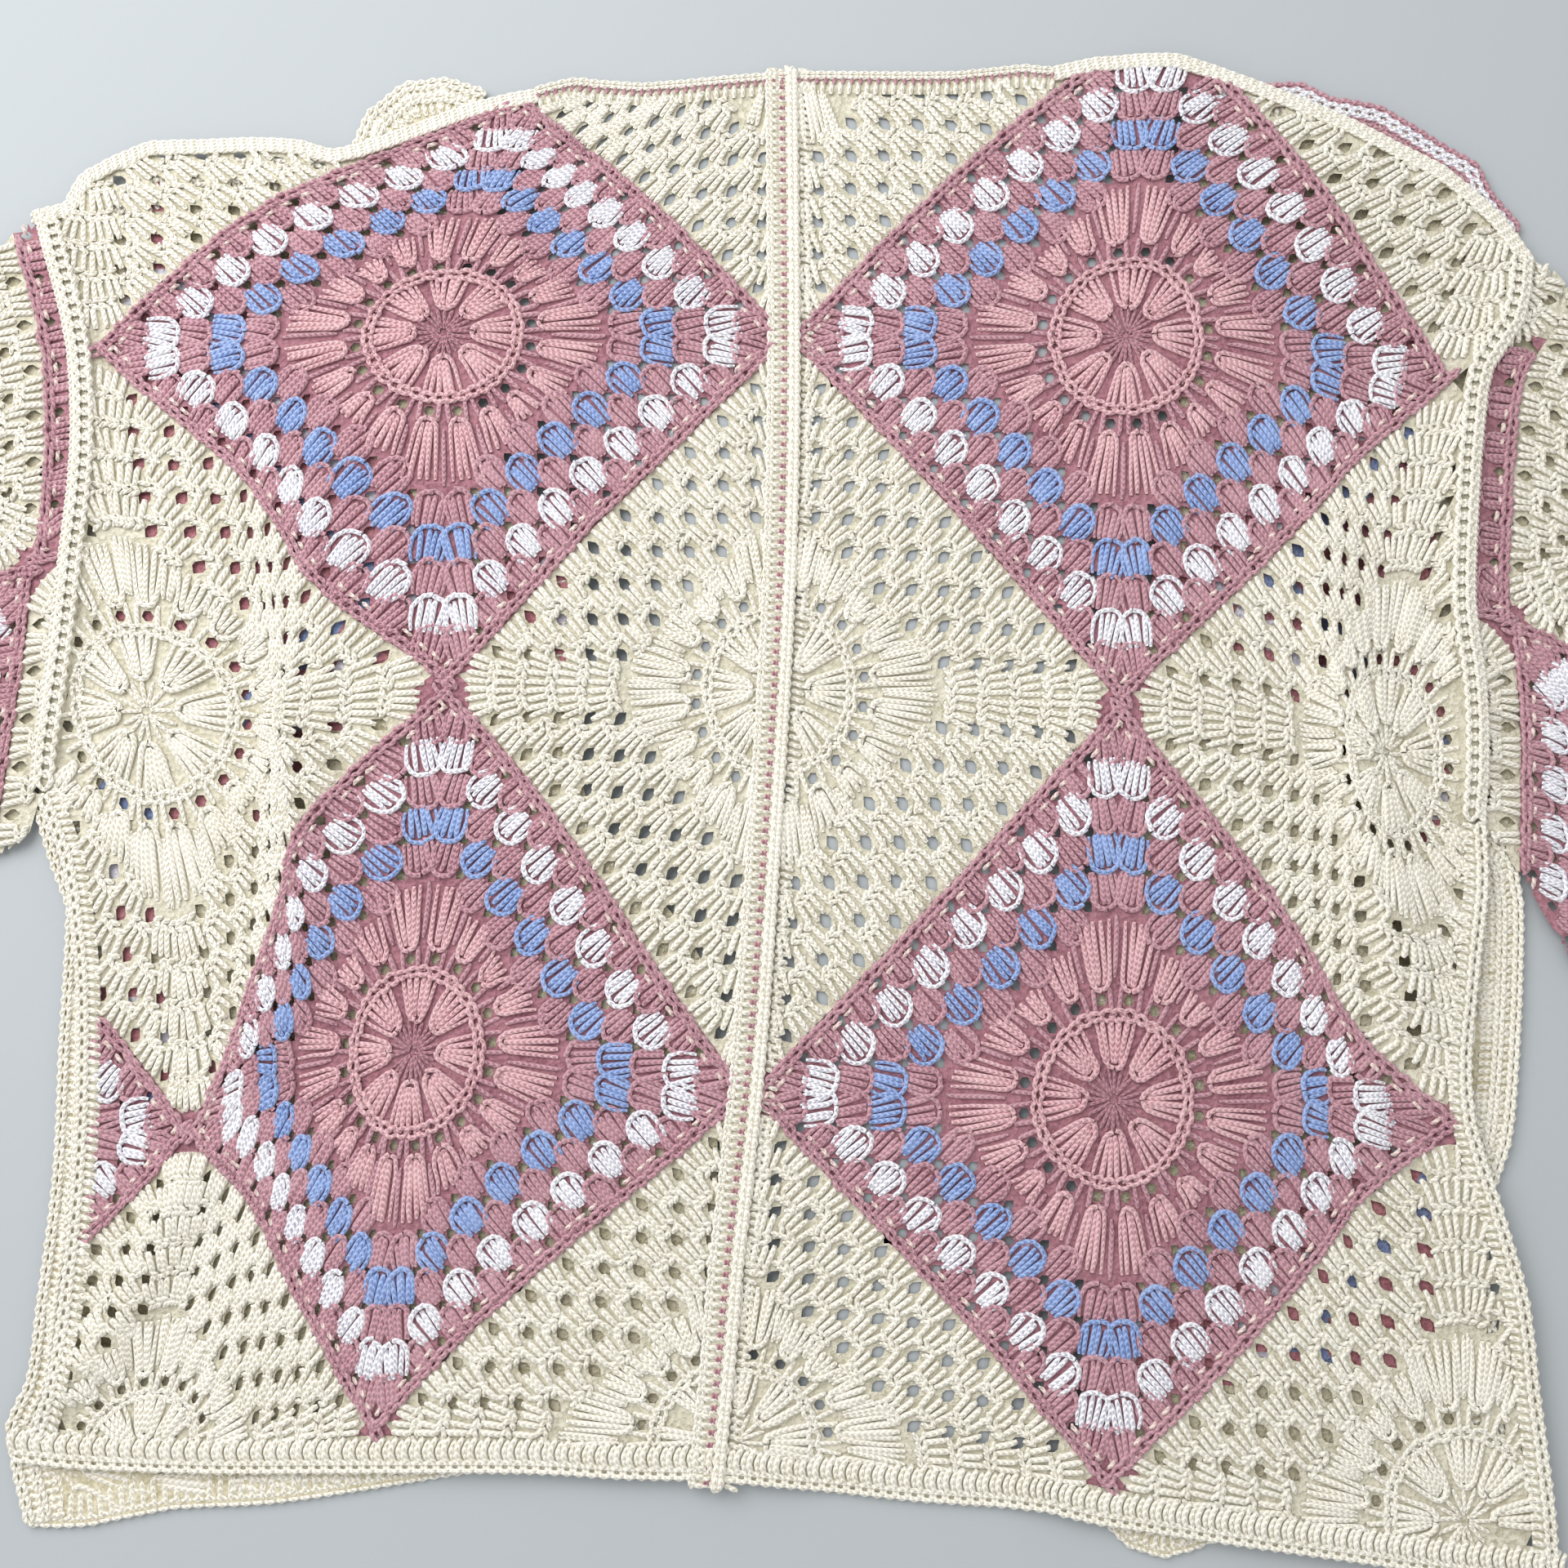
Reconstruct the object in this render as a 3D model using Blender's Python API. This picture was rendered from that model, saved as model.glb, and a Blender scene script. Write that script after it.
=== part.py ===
"""Crochet cardigan laid flat with its back up.

The back is made of squares set on their points, joined by a centre back border, with a neck
border, seam borders and a rib hem. The two fronts lie open under it, and each sleeve is a
flattened tube of an upper and an under piece. All lines are in millimetres, x to the right
and y to the neck, measured from a point near the middle of the back.
"""
import bpy
import numpy as np
from mathutils import Vector
from mathutils.geometry import delaunay_2d_cdt

for old in list(bpy.data.objects):
    bpy.data.objects.remove(old, do_unlink=True)

# Driving sizes in millimetres
CLOTH = 2.2             # thickness of the crochet cloth
BORDER = 3.0            # thickness of the raised seam borders
LAYER_GAP = 1.1         # air between the fronts and the back lying on them
SEAM_GAP = 0.35         # space between neighbouring pieces
HALF_DIAGONAL = 137.0   # centre of a square to its point
CENTRE_BAND = 12.0      # width of the centre back border
NECK_BAND = 8.5         # width of the neck border
RIB = 12.0              # width of the hem, front and cuff ribs
ARM_BAND = 9.0          # width of the armhole borders
SIDE_BAND = 8.0         # width of the side seam borders
SHOULDER_BAND = 5.0     # width of the shoulder seam borders
RIM = 5.0               # width over which a folded edge turns down
SLEEVE_DROP = 2.0       # how far the folded edges of the sleeves turn down
SHOULDER_DROP = 0.5     # how far the shoulders do, where the fronts lie right under them
DRAPE_START = 12.0      # beyond the front's edge the back begins to sink here
DRAPE_WIDTH = 34.0      # and lies on the table after this much more
GRID = 26.0             # spacing of the points inside the squares
WIDE_GRID = 38.0        # spacing of the points inside the other pieces
LINE_STEP = 14.0        # spacing of the points along outlines
CENTRE_X = -29.5        # middle of the whole cardigan, moved to the origin
CENTRE_Y = 1.26

# Seam and edge lines, x and y in millimetres
SHOULDER_LEFT = ((-302, 231), (-290, 234), (-284, 246), (-273, 253), (-258, 260), (-237, 261),
                 (-217, 262), (-196, 261), (-183, 257), (-162, 263), (-126, 277), (-101, 283))
NECK = ((-101, 284), (-86, 289), (-59, 287), (-25, 290), (2, 292), (29, 292), (70, 292), (97, 295),
        (110, 294))
SHOULDER_RIGHT = ((110, 294), (127, 298), (160, 298), (175, 293), (193, 286), (228, 271),
                  (248, 260), (265, 251), (277, 241), (288, 230), (300, 212))
ARM_LEFT = ((-297, 231), (-287, 201), (-280, 174), (-277, 144), (-277, 117), (-279, 90),
            (-281, 58), (-284, 25), (-287, -2))
ARM_RIGHT = ((296, 212), (290, 186), (277, 167), (272, 144), (268, 110), (265, 71), (267, 48),
             (268, 25), (266, -14))
SIDE_LEFT = ((-284, -5), (-273, -29), (-268, -54), (-265, -76), (-263, -113), (-263, -153),
             (-266, -203), (-269, -227), (-275, -246))
SIDE_RIGHT = ((266, -17), (265, -41), (259, -79), (256, -100), (256, -129), (264, -159),
              (273, -195), (275, -224), (278, -259), (280, -288))
CENTRE = ((5, 293), (6, 181), (5, 104), (2, 37), (-2, -28), (-7, -101), (-12, -150), (-16, -186),
          (-18, -212), (-23, -262))
HEM = ((-285, -252), (-266, -254), (-217, -256), (-167, -256), (-97, -256), (-60, -258),
       (-23, -259), (14, -263), (51, -267), (97, -270), (115, -274), (170, -282), (207, -287),
       (244, -292), (284, -296))
FRONT_EDGE_LEFT = ((-122, 284), (-132, 218), (-124, 150), (-84, 84), (-76, -10), (-31, -70),
                   (-25, -168), (-23, -250))
FRONT_EDGE_RIGHT = ((170, 287), (161, 218), (160, 167), (141, 58), (115, -88), (114, -156),
                    (120, -276))
FRONT_TOP_LEFT = ((-291, 221), (-268, 243), (-235, 253), (-200, 254), (-180, 250), (-170, 273),
                  (-156, 286), (-139, 289), (-122, 284))
FRONT_TOP_RIGHT = ((170, 287), (190, 286), (210, 287), (222, 281), (242, 277), (255, 269),
                   (268, 260), (280, 253), (286, 240), (297, 226))
FRONT_HEM_LEFT = ((-280, -276), (-259, -276), (-228, -270), (-191, -268), (-155, -263),
                  (-130, -259), (-79, -252), (-23, -250))
FRONT_HEM_RIGHT = ((120, -276), (127, -283), (139, -287), (150, -285), (175, -276), (200, -279),
                   (240, -284), (271, -287))
FRONT_SIDE_LEFT = ((-291, -8), (-283, -31), (-276, -47), (-276, -101), (-276, -150), (-280, -200),
                   (-282, -224), (-289, -240), (-286, -256), (-280, -276))
FRONT_SIDE_RIGHT = ((270, -14), (282, -29), (284, -45), (283, -67), (280, -101), (275, -137),
                    (266, -160), (264, -185), (268, -220), (270, -255), (271, -287))
SLEEVE_TOP_LEFT = ((-300, 230), (-308, 224), (-316, 219), (-420, 172), (-560, 104), (-693, 38))
SLEEVE_LOW_LEFT = ((-288, -6), (-292, -22), (-303, -28), (-380, -46), (-500, -78), (-636, -122))
SLEEVE_TOP_RIGHT = ((301, 212), (307, 209), (316, 201), (420, 116), (530, 16), (634, -92))
SLEEVE_LOW_RIGHT = ((269, -17), (284, -36), (301, -68), (344, -118), (420, -168), (524, -228))

# Places of the corners and centres of the squares: row j, then i with x and y in millimetres.
# A square's centre has whole i and j, and its points are one step away along i and j. Where a
# fold hides some of the cloth two more places of i stand on its two sides.
LATTICE = {
    2: ((-2, -287, 309), (-1, -106, 281), (0, 3, 328), (1, 153, 316), (2, 324, 309)),
    1: ((-2, -275, 174), (-1, -136, 181), (0, 2, 180), (1, 137, 180), (2, 266, 161)),
    0: ((-2, -248, 28), (-1.64, -199, 29), (-1.41, -194, 30), (-1, -132, 38), (0, -2, 37),
        (1, 131, 31), (1.6, 206, 20), (1.77, 216, 17), (2, 232, 11)),
    -1: ((-2, -225, -133), (-1.64, -197, -113), (-1.41, -181, -108), (-1, -141, -103),
         (0, -13, -118), (1, 125, -121), (1.6, 200, -122), (1.77, 217, -125), (2, 255, -130)),
    -2: ((-2, -238, -254), (-1, -152, -244), (0, -18, -246), (1, 119, -263), (2, 251, -274)),
}

# Squares of the back: name, i and j of the centre, yarn, side of the centre border (0 = both),
# rounds of gaps that are cut through
SQUARES = (
    ("square_pink_top_left", -1, 1, "rose", 0, 2),
    ("square_pink_top_right", 1, 1, "rose", 0, 2),
    ("square_pink_low_left", -1, -1, "rose", 0, 2),
    ("square_pink_low_right", 1, -1, "rose", 0, 2),
    ("square_pink_side_left", -3, -1, "rose", 0, 0),
    ("square_cream_centre_left", 0, 0, "cream", -1, 2),
    ("square_cream_centre_right", 0, 0, "cream", 1, 2),
    ("square_cream_neck_left", 0, 2, "cream", -1, 1),
    ("square_cream_neck_right", 0, 2, "cream", 1, 1),
    ("square_cream_hem_left", 0, -2, "cream", -1, 2),
    ("square_cream_hem_right", 0, -2, "cream", 1, 2),
    ("square_cream_side_left", -2, 0, "cream", 0, 1),
    ("square_cream_side_right", 2, 0, "cream", 0, 1),
    ("square_cream_shoulder_left", -2, 2, "cream", 0, 1),
    ("square_cream_shoulder_right", 2, 2, "cream", 0, 1),
    ("square_cream_corner_left", -2, -2, "cream", 0, 1),
    ("square_cream_corner_right", 2, -2, "cream", 0, 1),
)

# Folds and swellings of the upper layer: line, height, width on its left and on its right
# looking along it, and the length over which each end fades away
FOLDS = (
    (((207, 130), (209, 77), (214, 25), (223, -32), (236, -85), (249, -116)), 8.0, 32, 9, 45),
    (((-199, 60), (-196, 19), (-194, -38), (-200, -94), (-208, -124)), 7.0, 30, 9, 40),
    (((-217, -134), (-232, -168), (-248, -198), (-272, -240)), 5.0, 16, 14, 25),
    (((212, -98), (219, -128), (225, -156)), 3.5, 12, 14, 20),
    (((-256, 208), (-204, 222), (-152, 235)), 3.0, 34, 40, 50),
    (((172, 250), (211, 229), (242, 191)), 3.5, 42, 42, 50),
    (ARM_LEFT, 3.0, 13, 13, 20),
    (ARM_RIGHT, 3.0, 13, 13, 20),
    (SIDE_LEFT, 2.0, 11, 11, 20),
    (SIDE_RIGHT, 2.0, 11, 11, 20),
    (((-330, 120), (-430, 84), (-560, 30)), 4.5, 34, 30, 60),
    (((-312, -2), (-380, -14), (-470, -36)), 3.5, 18, 22, 40),
    (((330, 110), (420, 44), (520, -60)), 4.5, 32, 34, 60),
    (((300, -30), (350, -66), (420, -110)), 3.5, 20, 20, 40),
)
FOLD_POINT_STEP = 15.0  # spacing of extra points along the folds
EXTRA_CLEAR = 3.5       # their least distance from an edge

# Gaps of a square, as shares of the half diagonal
FLOWER_GAPS = 20
FLOWER_GAP_INNER = 0.239
FLOWER_GAP_OUTER = 0.277
FLOWER_GAP_TURN = 4.7   # half the angle a gap spans, in degrees
ROUND_GAPS = 6          # gaps on a side of the granny round next to the flower
ROUND_GAP_AT = 0.655    # its place between centre and side
ROUND_GAP_PITCH = 0.0905
ROUND_GAP_LONG = 0.021  # half its size to the side
ROUND_GAP_WIDE = 0.019  # half its size along the side
GAP_MARGIN = 4.0        # gaps nearer than this to an edge stay uncut

YARNS = {"cream": (0.72, 0.66, 0.52), "rose": (0.48, 0.22, 0.26)}


def smooth_step(value):
    """Ease from 0 to 1."""
    value = np.clip(value, 0.0, 1.0)
    return value * value * (3.0 - 2.0 * value)


def smooth_line(points, step=LINE_STEP):
    """Curve through the points, with points about one step apart."""
    rows = np.array(points, dtype=float)
    before = np.vstack((2 * rows[0] - rows[1], rows, 2 * rows[-1] - rows[-2]))
    pieces = []
    for a, b, c, d in zip(before, before[1:], before[2:], before[3:]):
        count = max(1, int(round(np.linalg.norm(c - b) / step)))
        for t in np.arange(count) / count:
            pieces.append(0.5 * (2 * b + (c - a) * t + (2 * a - 5 * b + 4 * c - d) * t ** 2
                                 + (3 * b - a - 3 * c + d) * t ** 3))
    pieces.append(rows[-1])
    return np.array(pieces)


def offset_line(line, distance):
    """The line moved to its left by the distance."""
    line = np.asarray(line, dtype=float)
    run = np.gradient(line, axis=0)
    normal = np.column_stack((-run[:, 1], run[:, 0]))
    normal /= np.linalg.norm(normal, axis=1)[:, None]
    return line + normal * distance


def lengthen(line, extra):
    """The line with both ends moved out."""
    line = np.array(line, dtype=float)
    first = line[0] - line[1]
    last = line[-1] - line[-2]
    line[0] += first / np.linalg.norm(first) * extra
    line[-1] += last / np.linalg.norm(last) * extra
    return line


def strip(points, left, right, grow=0.0):
    """Outline of a band that reaches left and right of a line."""
    line = lengthen(smooth_line(points), grow)
    return np.vstack((offset_line(line, left + grow), offset_line(line, -right - grow)[::-1]))


def inside(points, outline):
    """Which points lie in the closed outline."""
    x, y = points[:, 0][:, None], points[:, 1][:, None]
    a, b = outline, np.roll(outline, -1, axis=0)
    crosses = (a[:, 1] > y) != (b[:, 1] > y)
    rise = np.where(b[:, 1] == a[:, 1], 1.0, b[:, 1] - a[:, 1])
    at = a[:, 0] + (y - a[:, 1]) * (b[:, 0] - a[:, 0]) / rise
    return (np.sum(crosses & (x < at), axis=1) % 2) == 1


def from_line(points, line):
    """Distance of points from a line, the side (1 = left) and the way along it."""
    a, b = line[:-1], line[1:]
    run = b - a
    length = np.linalg.norm(run, axis=1)
    rel = points[:, None, :] - a[None]
    share = np.clip((rel * run).sum(axis=2) / length ** 2, 0.0, 1.0)
    off = rel - share[..., None] * run
    dist = np.linalg.norm(off, axis=2)
    best = dist.argmin(axis=1)
    pick = np.arange(len(points))
    cross = run[best, 0] * rel[pick, best, 1] - run[best, 1] * rel[pick, best, 0]
    start = np.concatenate(([0.0], np.cumsum(length)[:-1]))
    along = start[best] + share[pick, best] * length[best]
    return dist[pick, best], np.where(cross >= 0, 1, -1), along


def limited_curve(places, values, where):
    """Curve through values at the places, without overshoot, for each column of values."""
    places = np.asarray(places, dtype=float)
    gap = np.diff(places)[:, None]
    secant = np.diff(values, axis=0) / gap
    slope = np.zeros_like(values)
    slope[0], slope[-1] = secant[0], secant[-1]
    same = secant[:-1] * secant[1:] > 0
    mean = 2 * secant[:-1] * secant[1:] / np.where(same, secant[:-1] + secant[1:], 1.0)
    slope[1:-1] = np.where(same, mean, 0.0)
    piece = np.clip(np.searchsorted(places, where) - 1, 0, len(places) - 2)
    pick = np.arange(len(where))
    h = np.diff(places)[piece]
    t = (where - places[piece]) / h
    low, high = values[piece, pick], values[piece + 1, pick]
    m0, m1 = slope[piece, pick] * h, slope[piece + 1, pick] * h
    curve = (low * (1 + 2 * t) * (1 - t) ** 2 + m0 * t * (1 - t) ** 2
             + high * t * t * (3 - 2 * t) + m1 * t * t * (t - 1))
    return curve


def widened(row):
    """A row of the lattice with one more place beyond each end."""
    table = np.array(row, dtype=float)
    first = table[0] - (table[-1] - table[0]) / (table[-1, 0] - table[0, 0])
    last = table[-1] + (table[-1] - table[0]) / (table[-1, 0] - table[0, 0])
    first[2], last[2] = table[0, 2], table[-1, 2]
    return np.vstack((first, table, last))


def lattice_place(ij):
    """Millimetres of points given in steps of the lattice."""
    ij = np.atleast_2d(np.asarray(ij, dtype=float))
    rows = sorted(LATTICE)
    across = []
    for row in rows:
        table = widened(LATTICE[row])
        both = [limited_curve(table[:, 0], np.repeat(table[:, k:k + 1], len(ij), axis=1), ij[:, 0])
                for k in (1, 2)]
        across.append(both)
    across = np.array(across)
    lower = 2 * across[0] - across[1]
    upper = 2 * across[-1] - across[-2]
    stack = np.concatenate((lower[None], across, upper[None]))
    places = [rows[0] - 1] + rows + [rows[-1] + 1]
    return np.column_stack([limited_curve(places, stack[:, k], ij[:, 1]) for k in (0, 1)])


# Reach of the two fronts, beyond which the back sinks to the table
OPEN_LEFT = smooth_line(((FRONT_EDGE_LEFT[0][0], 400),) + FRONT_EDGE_LEFT
                        + ((FRONT_EDGE_LEFT[-1][0], -400),))
OPEN_RIGHT = smooth_line(((FRONT_EDGE_RIGHT[0][0], 400),) + FRONT_EDGE_RIGHT
                         + ((FRONT_EDGE_RIGHT[-1][0], -400),))
OPEN_MIDDLE = np.vstack((OPEN_LEFT, OPEN_RIGHT[::-1]))
SLEEVE_EDGES = (SLEEVE_TOP_LEFT, SLEEVE_LOW_LEFT, SLEEVE_TOP_RIGHT, SLEEVE_LOW_RIGHT)
FOLDED_EDGES = [(smooth_line(line), SHOULDER_DROP) for line in (SHOULDER_LEFT, SHOULDER_RIGHT)]
FOLDED_EDGES += [(smooth_line(line[2:]), SLEEVE_DROP) for line in SLEEVE_EDGES]
FOLD_LINES = [(smooth_line(line),) + tuple(sizes) for line, *sizes in FOLDS]


def lower_underside(points):
    """The fronts and the under sleeves lie flat on the table."""
    return np.zeros(len(points))


def upper_underside(points):
    """Height of the underside of the back and the upper sleeves."""
    lying = CLOTH + LAYER_GAP
    to_left = from_line(points, OPEN_LEFT)[0]
    to_right = from_line(points, OPEN_RIGHT)[0]
    reach = np.where(inside(points, OPEN_MIDDLE), np.minimum(to_left, to_right), 0.0)
    height = lying * (1.0 - smooth_step((reach - DRAPE_START) / DRAPE_WIDTH))
    for line, rise, left, right, fade in FOLD_LINES:
        dist, side, along = from_line(points, line)
        total = np.linalg.norm(np.diff(line, axis=0), axis=1).sum()
        width = np.where(side > 0, left, right)
        bump = 0.5 * (1.0 + np.cos(np.pi * np.clip(dist / width, 0.0, 1.0)))
        height += rise * bump * smooth_step(along / fade) * smooth_step((total - along) / fade)
    drop = np.max([depth * (1.0 - smooth_step(from_line(points, edge)[0] / RIM))
                   for edge, depth in FOLDED_EDGES], axis=0)
    return np.maximum(height - drop, 0.0)


def grid_points(outline, spacing):
    """Points of an even net of triangles over an outline."""
    if not spacing:
        return np.zeros((0, 2))
    low, high = outline.min(axis=0), outline.max(axis=0)
    rows = []
    for number, y in enumerate(np.arange(low[1] + spacing / 2, high[1], spacing * 0.866)):
        x = np.arange(low[0] + spacing * (0.5 if number % 2 else 1.0), high[0], spacing)
        rows.append(np.column_stack((x, np.full(len(x), y))))
    return np.vstack(rows) if rows else np.zeros((0, 2))


def fold_points():
    """Points along the crests and feet of the folds and inside the folded edges."""
    rows = [offset_line(edge, side * (RIM + 0.5)) for edge, _depth in FOLDED_EDGES
            for side in (-1, 1)]
    for line, rise, left, right, _fade in FOLD_LINES:
        count = max(2, int(np.linalg.norm(np.diff(line, axis=0), axis=1).sum() / FOLD_POINT_STEP))
        spots = np.linspace(0, len(line) - 1, count)
        even = np.column_stack([np.interp(spots, np.arange(len(line)), line[:, k])
                                for k in (0, 1)])
        for share in (-1.0, -0.5, 0.0, 0.5, 1.0):
            width = left if share > 0 else right
            rows.append(offset_line(even, share * width))
    return np.vstack(rows)


CREST_POINTS = fold_points()


def largest_piece(faces):
    """The largest group of faces joined along edges."""
    owner = {}
    for number, face in enumerate(faces):
        for a, b in zip(face, face[1:] + face[:1]):
            owner.setdefault((min(a, b), max(a, b)), []).append(number)
    near = {number: set() for number in range(len(faces))}
    for pair in owner.values():
        if len(pair) == 2:
            near[pair[0]].add(pair[1])
            near[pair[1]].add(pair[0])
    best, seen = [], set()
    for start in near:
        if start in seen:
            continue
        group, todo = [], [start]
        seen.add(start)
        while todo:
            here = todo.pop()
            group.append(here)
            for other in near[here] - seen:
                seen.add(other)
                todo.append(other)
        if len(group) > len(best):
            best = group
    return [faces[number] for number in sorted(best)]


def sheet(name, yarn, outline, underside, thickness=CLOTH, limits=(), minus=(), holes=(),
          spacing=WIDE_GRID, extra=(), crown=0.0, only=None):
    """A closed wall of cloth over an outline, with its holes cut through.

    limits are outlines it stays in, minus are outlines it stays out of, and only is a test on
    the middle of each triangle.
    """
    loops = [outline] + list(limits) + list(minus) + list(holes)
    chosen = []
    for inner, clear in ((extra, EXTRA_CLEAR), (grid_points(outline, spacing), spacing * 0.3)):
        if not len(inner):
            continue
        keep = inside(inner, outline)
        for loop in limits:
            keep &= inside(inner, loop)
        for loop in list(minus) + list(holes):
            keep &= ~inside(inner, loop)
        inner = inner[keep]
        for loop in loops:
            if len(inner):
                inner = inner[from_line(inner, np.vstack((loop, loop[:1])))[0] > clear]
        for point in inner:
            if all(np.hypot(*(point - other)) > clear * 1.5 for other in chosen):
                chosen.append(point)
    coords = [Vector(point) for loop in loops for point in loop] + [Vector(p) for p in chosen]
    edges = []
    start = 0
    for loop in loops:
        count = len(loop)
        edges += [(start + k, start + (k + 1) % count) for k in range(count)]
        start += count
    points, _edges, faces, *_rest = delaunay_2d_cdt(coords, edges, [], 0, 1e-4)
    points = np.array([tuple(p) for p in points])
    faces = [list(face) for face in faces if len(face) == 3]
    middle = points[np.array(faces)].mean(axis=1)
    keep = inside(middle, outline)
    for loop in limits:
        keep &= inside(middle, loop)
    for loop in list(minus) + list(holes):
        keep &= ~inside(middle, loop)
    if only is not None:
        keep &= only(middle)
    faces = largest_piece([face for face, good in zip(faces, keep) if good])
    used = sorted({v for face in faces for v in face})
    number = {v: k for k, v in enumerate(used)}
    points = points[used]
    faces = [[number[v] for v in face] for face in faces]
    once = {}
    for face in faces:
        for a, b in zip(face, face[1:] + face[:1]):
            once[(a, b)] = True
    rim = [(a, b) for a, b in once if (b, a) not in once]
    on_rim = {v for edge in rim for v in edge}
    low = underside(points)
    high = low + thickness
    if crown:
        high += np.array([0.0 if v in on_rim else crown for v in range(len(points))])
    total = len(points)
    place = points - (CENTRE_X, CENTRE_Y)
    rows = [(x, y, z) for (x, y), z in zip(place, high)]
    rows += [(x, y, z) for (x, y), z in zip(place, low)]
    solid = [tuple(face) for face in faces]
    solid += [tuple(total + v for v in reversed(face)) for face in faces]
    for a, b in rim:
        solid += [(b, a, total + a), (b, total + a, total + b)]
    mesh = bpy.data.meshes.new(name)
    mesh.from_pydata([tuple(0.001 * float(c) for c in row) for row in rows], [], solid)
    mesh.validate()
    obj = bpy.data.objects.new(name, mesh)
    bpy.context.scene.collection.objects.link(obj)
    material = bpy.data.materials.new(name + "_" + yarn)
    material.use_nodes = True
    shader = next(node for node in material.node_tree.nodes if node.type == "BSDF_PRINCIPLED")
    shader.inputs["Base Color"].default_value = (*YARNS[yarn], 1.0)
    shader.inputs["Roughness"].default_value = 0.9
    mesh.materials.append(material)
    return obj


def band(name, points, left, right, minus=(), thickness=BORDER, underside=upper_underside,
         crown=0.5, yarn="cream"):
    """A border along a line, a little thicker than the cloth and rounded along its middle."""
    line = smooth_line(points)
    middle = offset_line(line, 0.5 * (left - right))[1:-1]
    return sheet(name, yarn, strip(points, left, right), underside, thickness=thickness,
                 minus=minus, spacing=0, extra=middle, crown=crown)


def square_outline(i, j):
    """Outline of a square on its point, kept clear of its neighbours."""
    reach = 1.0 - 0.75 * SEAM_GAP / HALF_DIAGONAL
    corners = np.array(((1, 0), (0, 1), (-1, 0), (0, -1), (1, 0))) * reach
    steps = 13
    rows = [a + (b - a) * k / steps for a, b in zip(corners, corners[1:]) for k in range(steps)]
    return lattice_place(np.array(rows) + (i, j))


def square_gaps(i, j, rounds):
    """Cut gaps of a square: the ring round its flower and the granny round beside it."""
    cells = []
    if rounds > 0:
        for number in range(FLOWER_GAPS):
            turn = np.radians(360.0 / FLOWER_GAPS * (number + 0.5)
                              + np.array((-1, 1, 1, -1)) * FLOWER_GAP_TURN)
            reach = np.array((FLOWER_GAP_INNER,) * 2 + (FLOWER_GAP_OUTER,) * 2)
            cells.append(np.column_stack((np.cos(turn), np.sin(turn))) * reach[:, None])
    if rounds > 1:
        for side in range(4):
            out = np.array(((0.5, 0.5), (-0.5, 0.5), (-0.5, -0.5), (0.5, -0.5))[side])
            way = np.array((-out[1], out[0])) * 2
            for number in range(ROUND_GAPS):
                middle = out * ROUND_GAP_AT + way * ROUND_GAP_PITCH * (number - 2.5)
                cells.append(np.array([middle + out * 2 * ROUND_GAP_LONG * a
                                       + way * ROUND_GAP_WIDE * b
                                       for a, b in ((-1, 0), (0, 1), (1, 0), (0, -1))]))
    return [lattice_place(cell + (i, j)) for cell in cells]


def clear_gaps(gaps, loops):
    """The gaps that keep their distance from all the loops."""
    good = []
    for gap in gaps:
        middle = gap.mean(axis=0)[None]
        near = min(from_line(middle, np.vstack((loop, loop[:1])))[0][0] for loop in loops)
        size = np.linalg.norm(gap - middle, axis=1).max()
        if near > size + GAP_MARGIN:
            good.append(gap)
    return good


# Outlines of the borders, grown by the seam gap where they are kept out of other pieces
CENTRE_LINE = smooth_line(CENTRE)
centre_cut = strip(CENTRE, 0, CENTRE_BAND, SEAM_GAP)
neck_cut = strip(NECK, 0, NECK_BAND, SEAM_GAP)
hem_cut = strip(HEM, RIB, 0, SEAM_GAP)
arm_cuts = [strip(line, ARM_BAND / 2, ARM_BAND / 2, SEAM_GAP) for line in (ARM_LEFT, ARM_RIGHT)]
side_cuts = [strip(line, SIDE_BAND / 2, SIDE_BAND / 2, SEAM_GAP)
             for line in (SIDE_LEFT, SIDE_RIGHT)]
shoulder_cuts = [strip(line, 0, SHOULDER_BAND, SEAM_GAP)
                 for line in (SHOULDER_LEFT, SHOULDER_RIGHT)]
back_cuts = [centre_cut, neck_cut, hem_cut] + arm_cuts + side_cuts + shoulder_cuts

# The back reaches to the middle of each border that stands at its edge
back_outline = np.vstack((
    offset_line(smooth_line(SHOULDER_LEFT), -SHOULDER_BAND / 2)[1:-1],
    offset_line(smooth_line(NECK), -NECK_BAND / 2),
    offset_line(smooth_line(SHOULDER_RIGHT), -SHOULDER_BAND / 2)[1:-1],
    smooth_line(ARM_RIGHT), smooth_line(SIDE_RIGHT)[:-1],
    offset_line(smooth_line(HEM), RIB / 2)[1:-1][::-1],
    smooth_line(SIDE_LEFT)[:-1][::-1], smooth_line(ARM_LEFT)[::-1]))


def side_test(side):
    """Test for the left (-1) or right (1) side of the centre border."""
    if side == 0:
        return None
    return lambda points: from_line(points, CENTRE_LINE)[1] == side


gap_count = 0
for name, i, j, yarn, side, rounds in SQUARES:
    outline = square_outline(i, j)
    gaps = clear_gaps(square_gaps(i, j, rounds), [outline, back_outline] + back_cuts)
    gaps = [gap for gap in gaps if inside(gap[:1], back_outline)[0]]
    if side:
        gaps = [gap for gap in gaps if side_test(side)(gap[:1])[0]]
    near = [cut for cut in back_cuts
            if (cut.min(axis=0) < outline.max(axis=0)).all()
            and (cut.max(axis=0) > outline.min(axis=0)).all()]
    sheet(name, yarn, outline, upper_underside, limits=[back_outline], minus=near, holes=gaps,
          spacing=GRID, extra=CREST_POINTS, only=side_test(side))
    gap_count += len(gaps)
print("gaps cut through:", gap_count)

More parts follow.
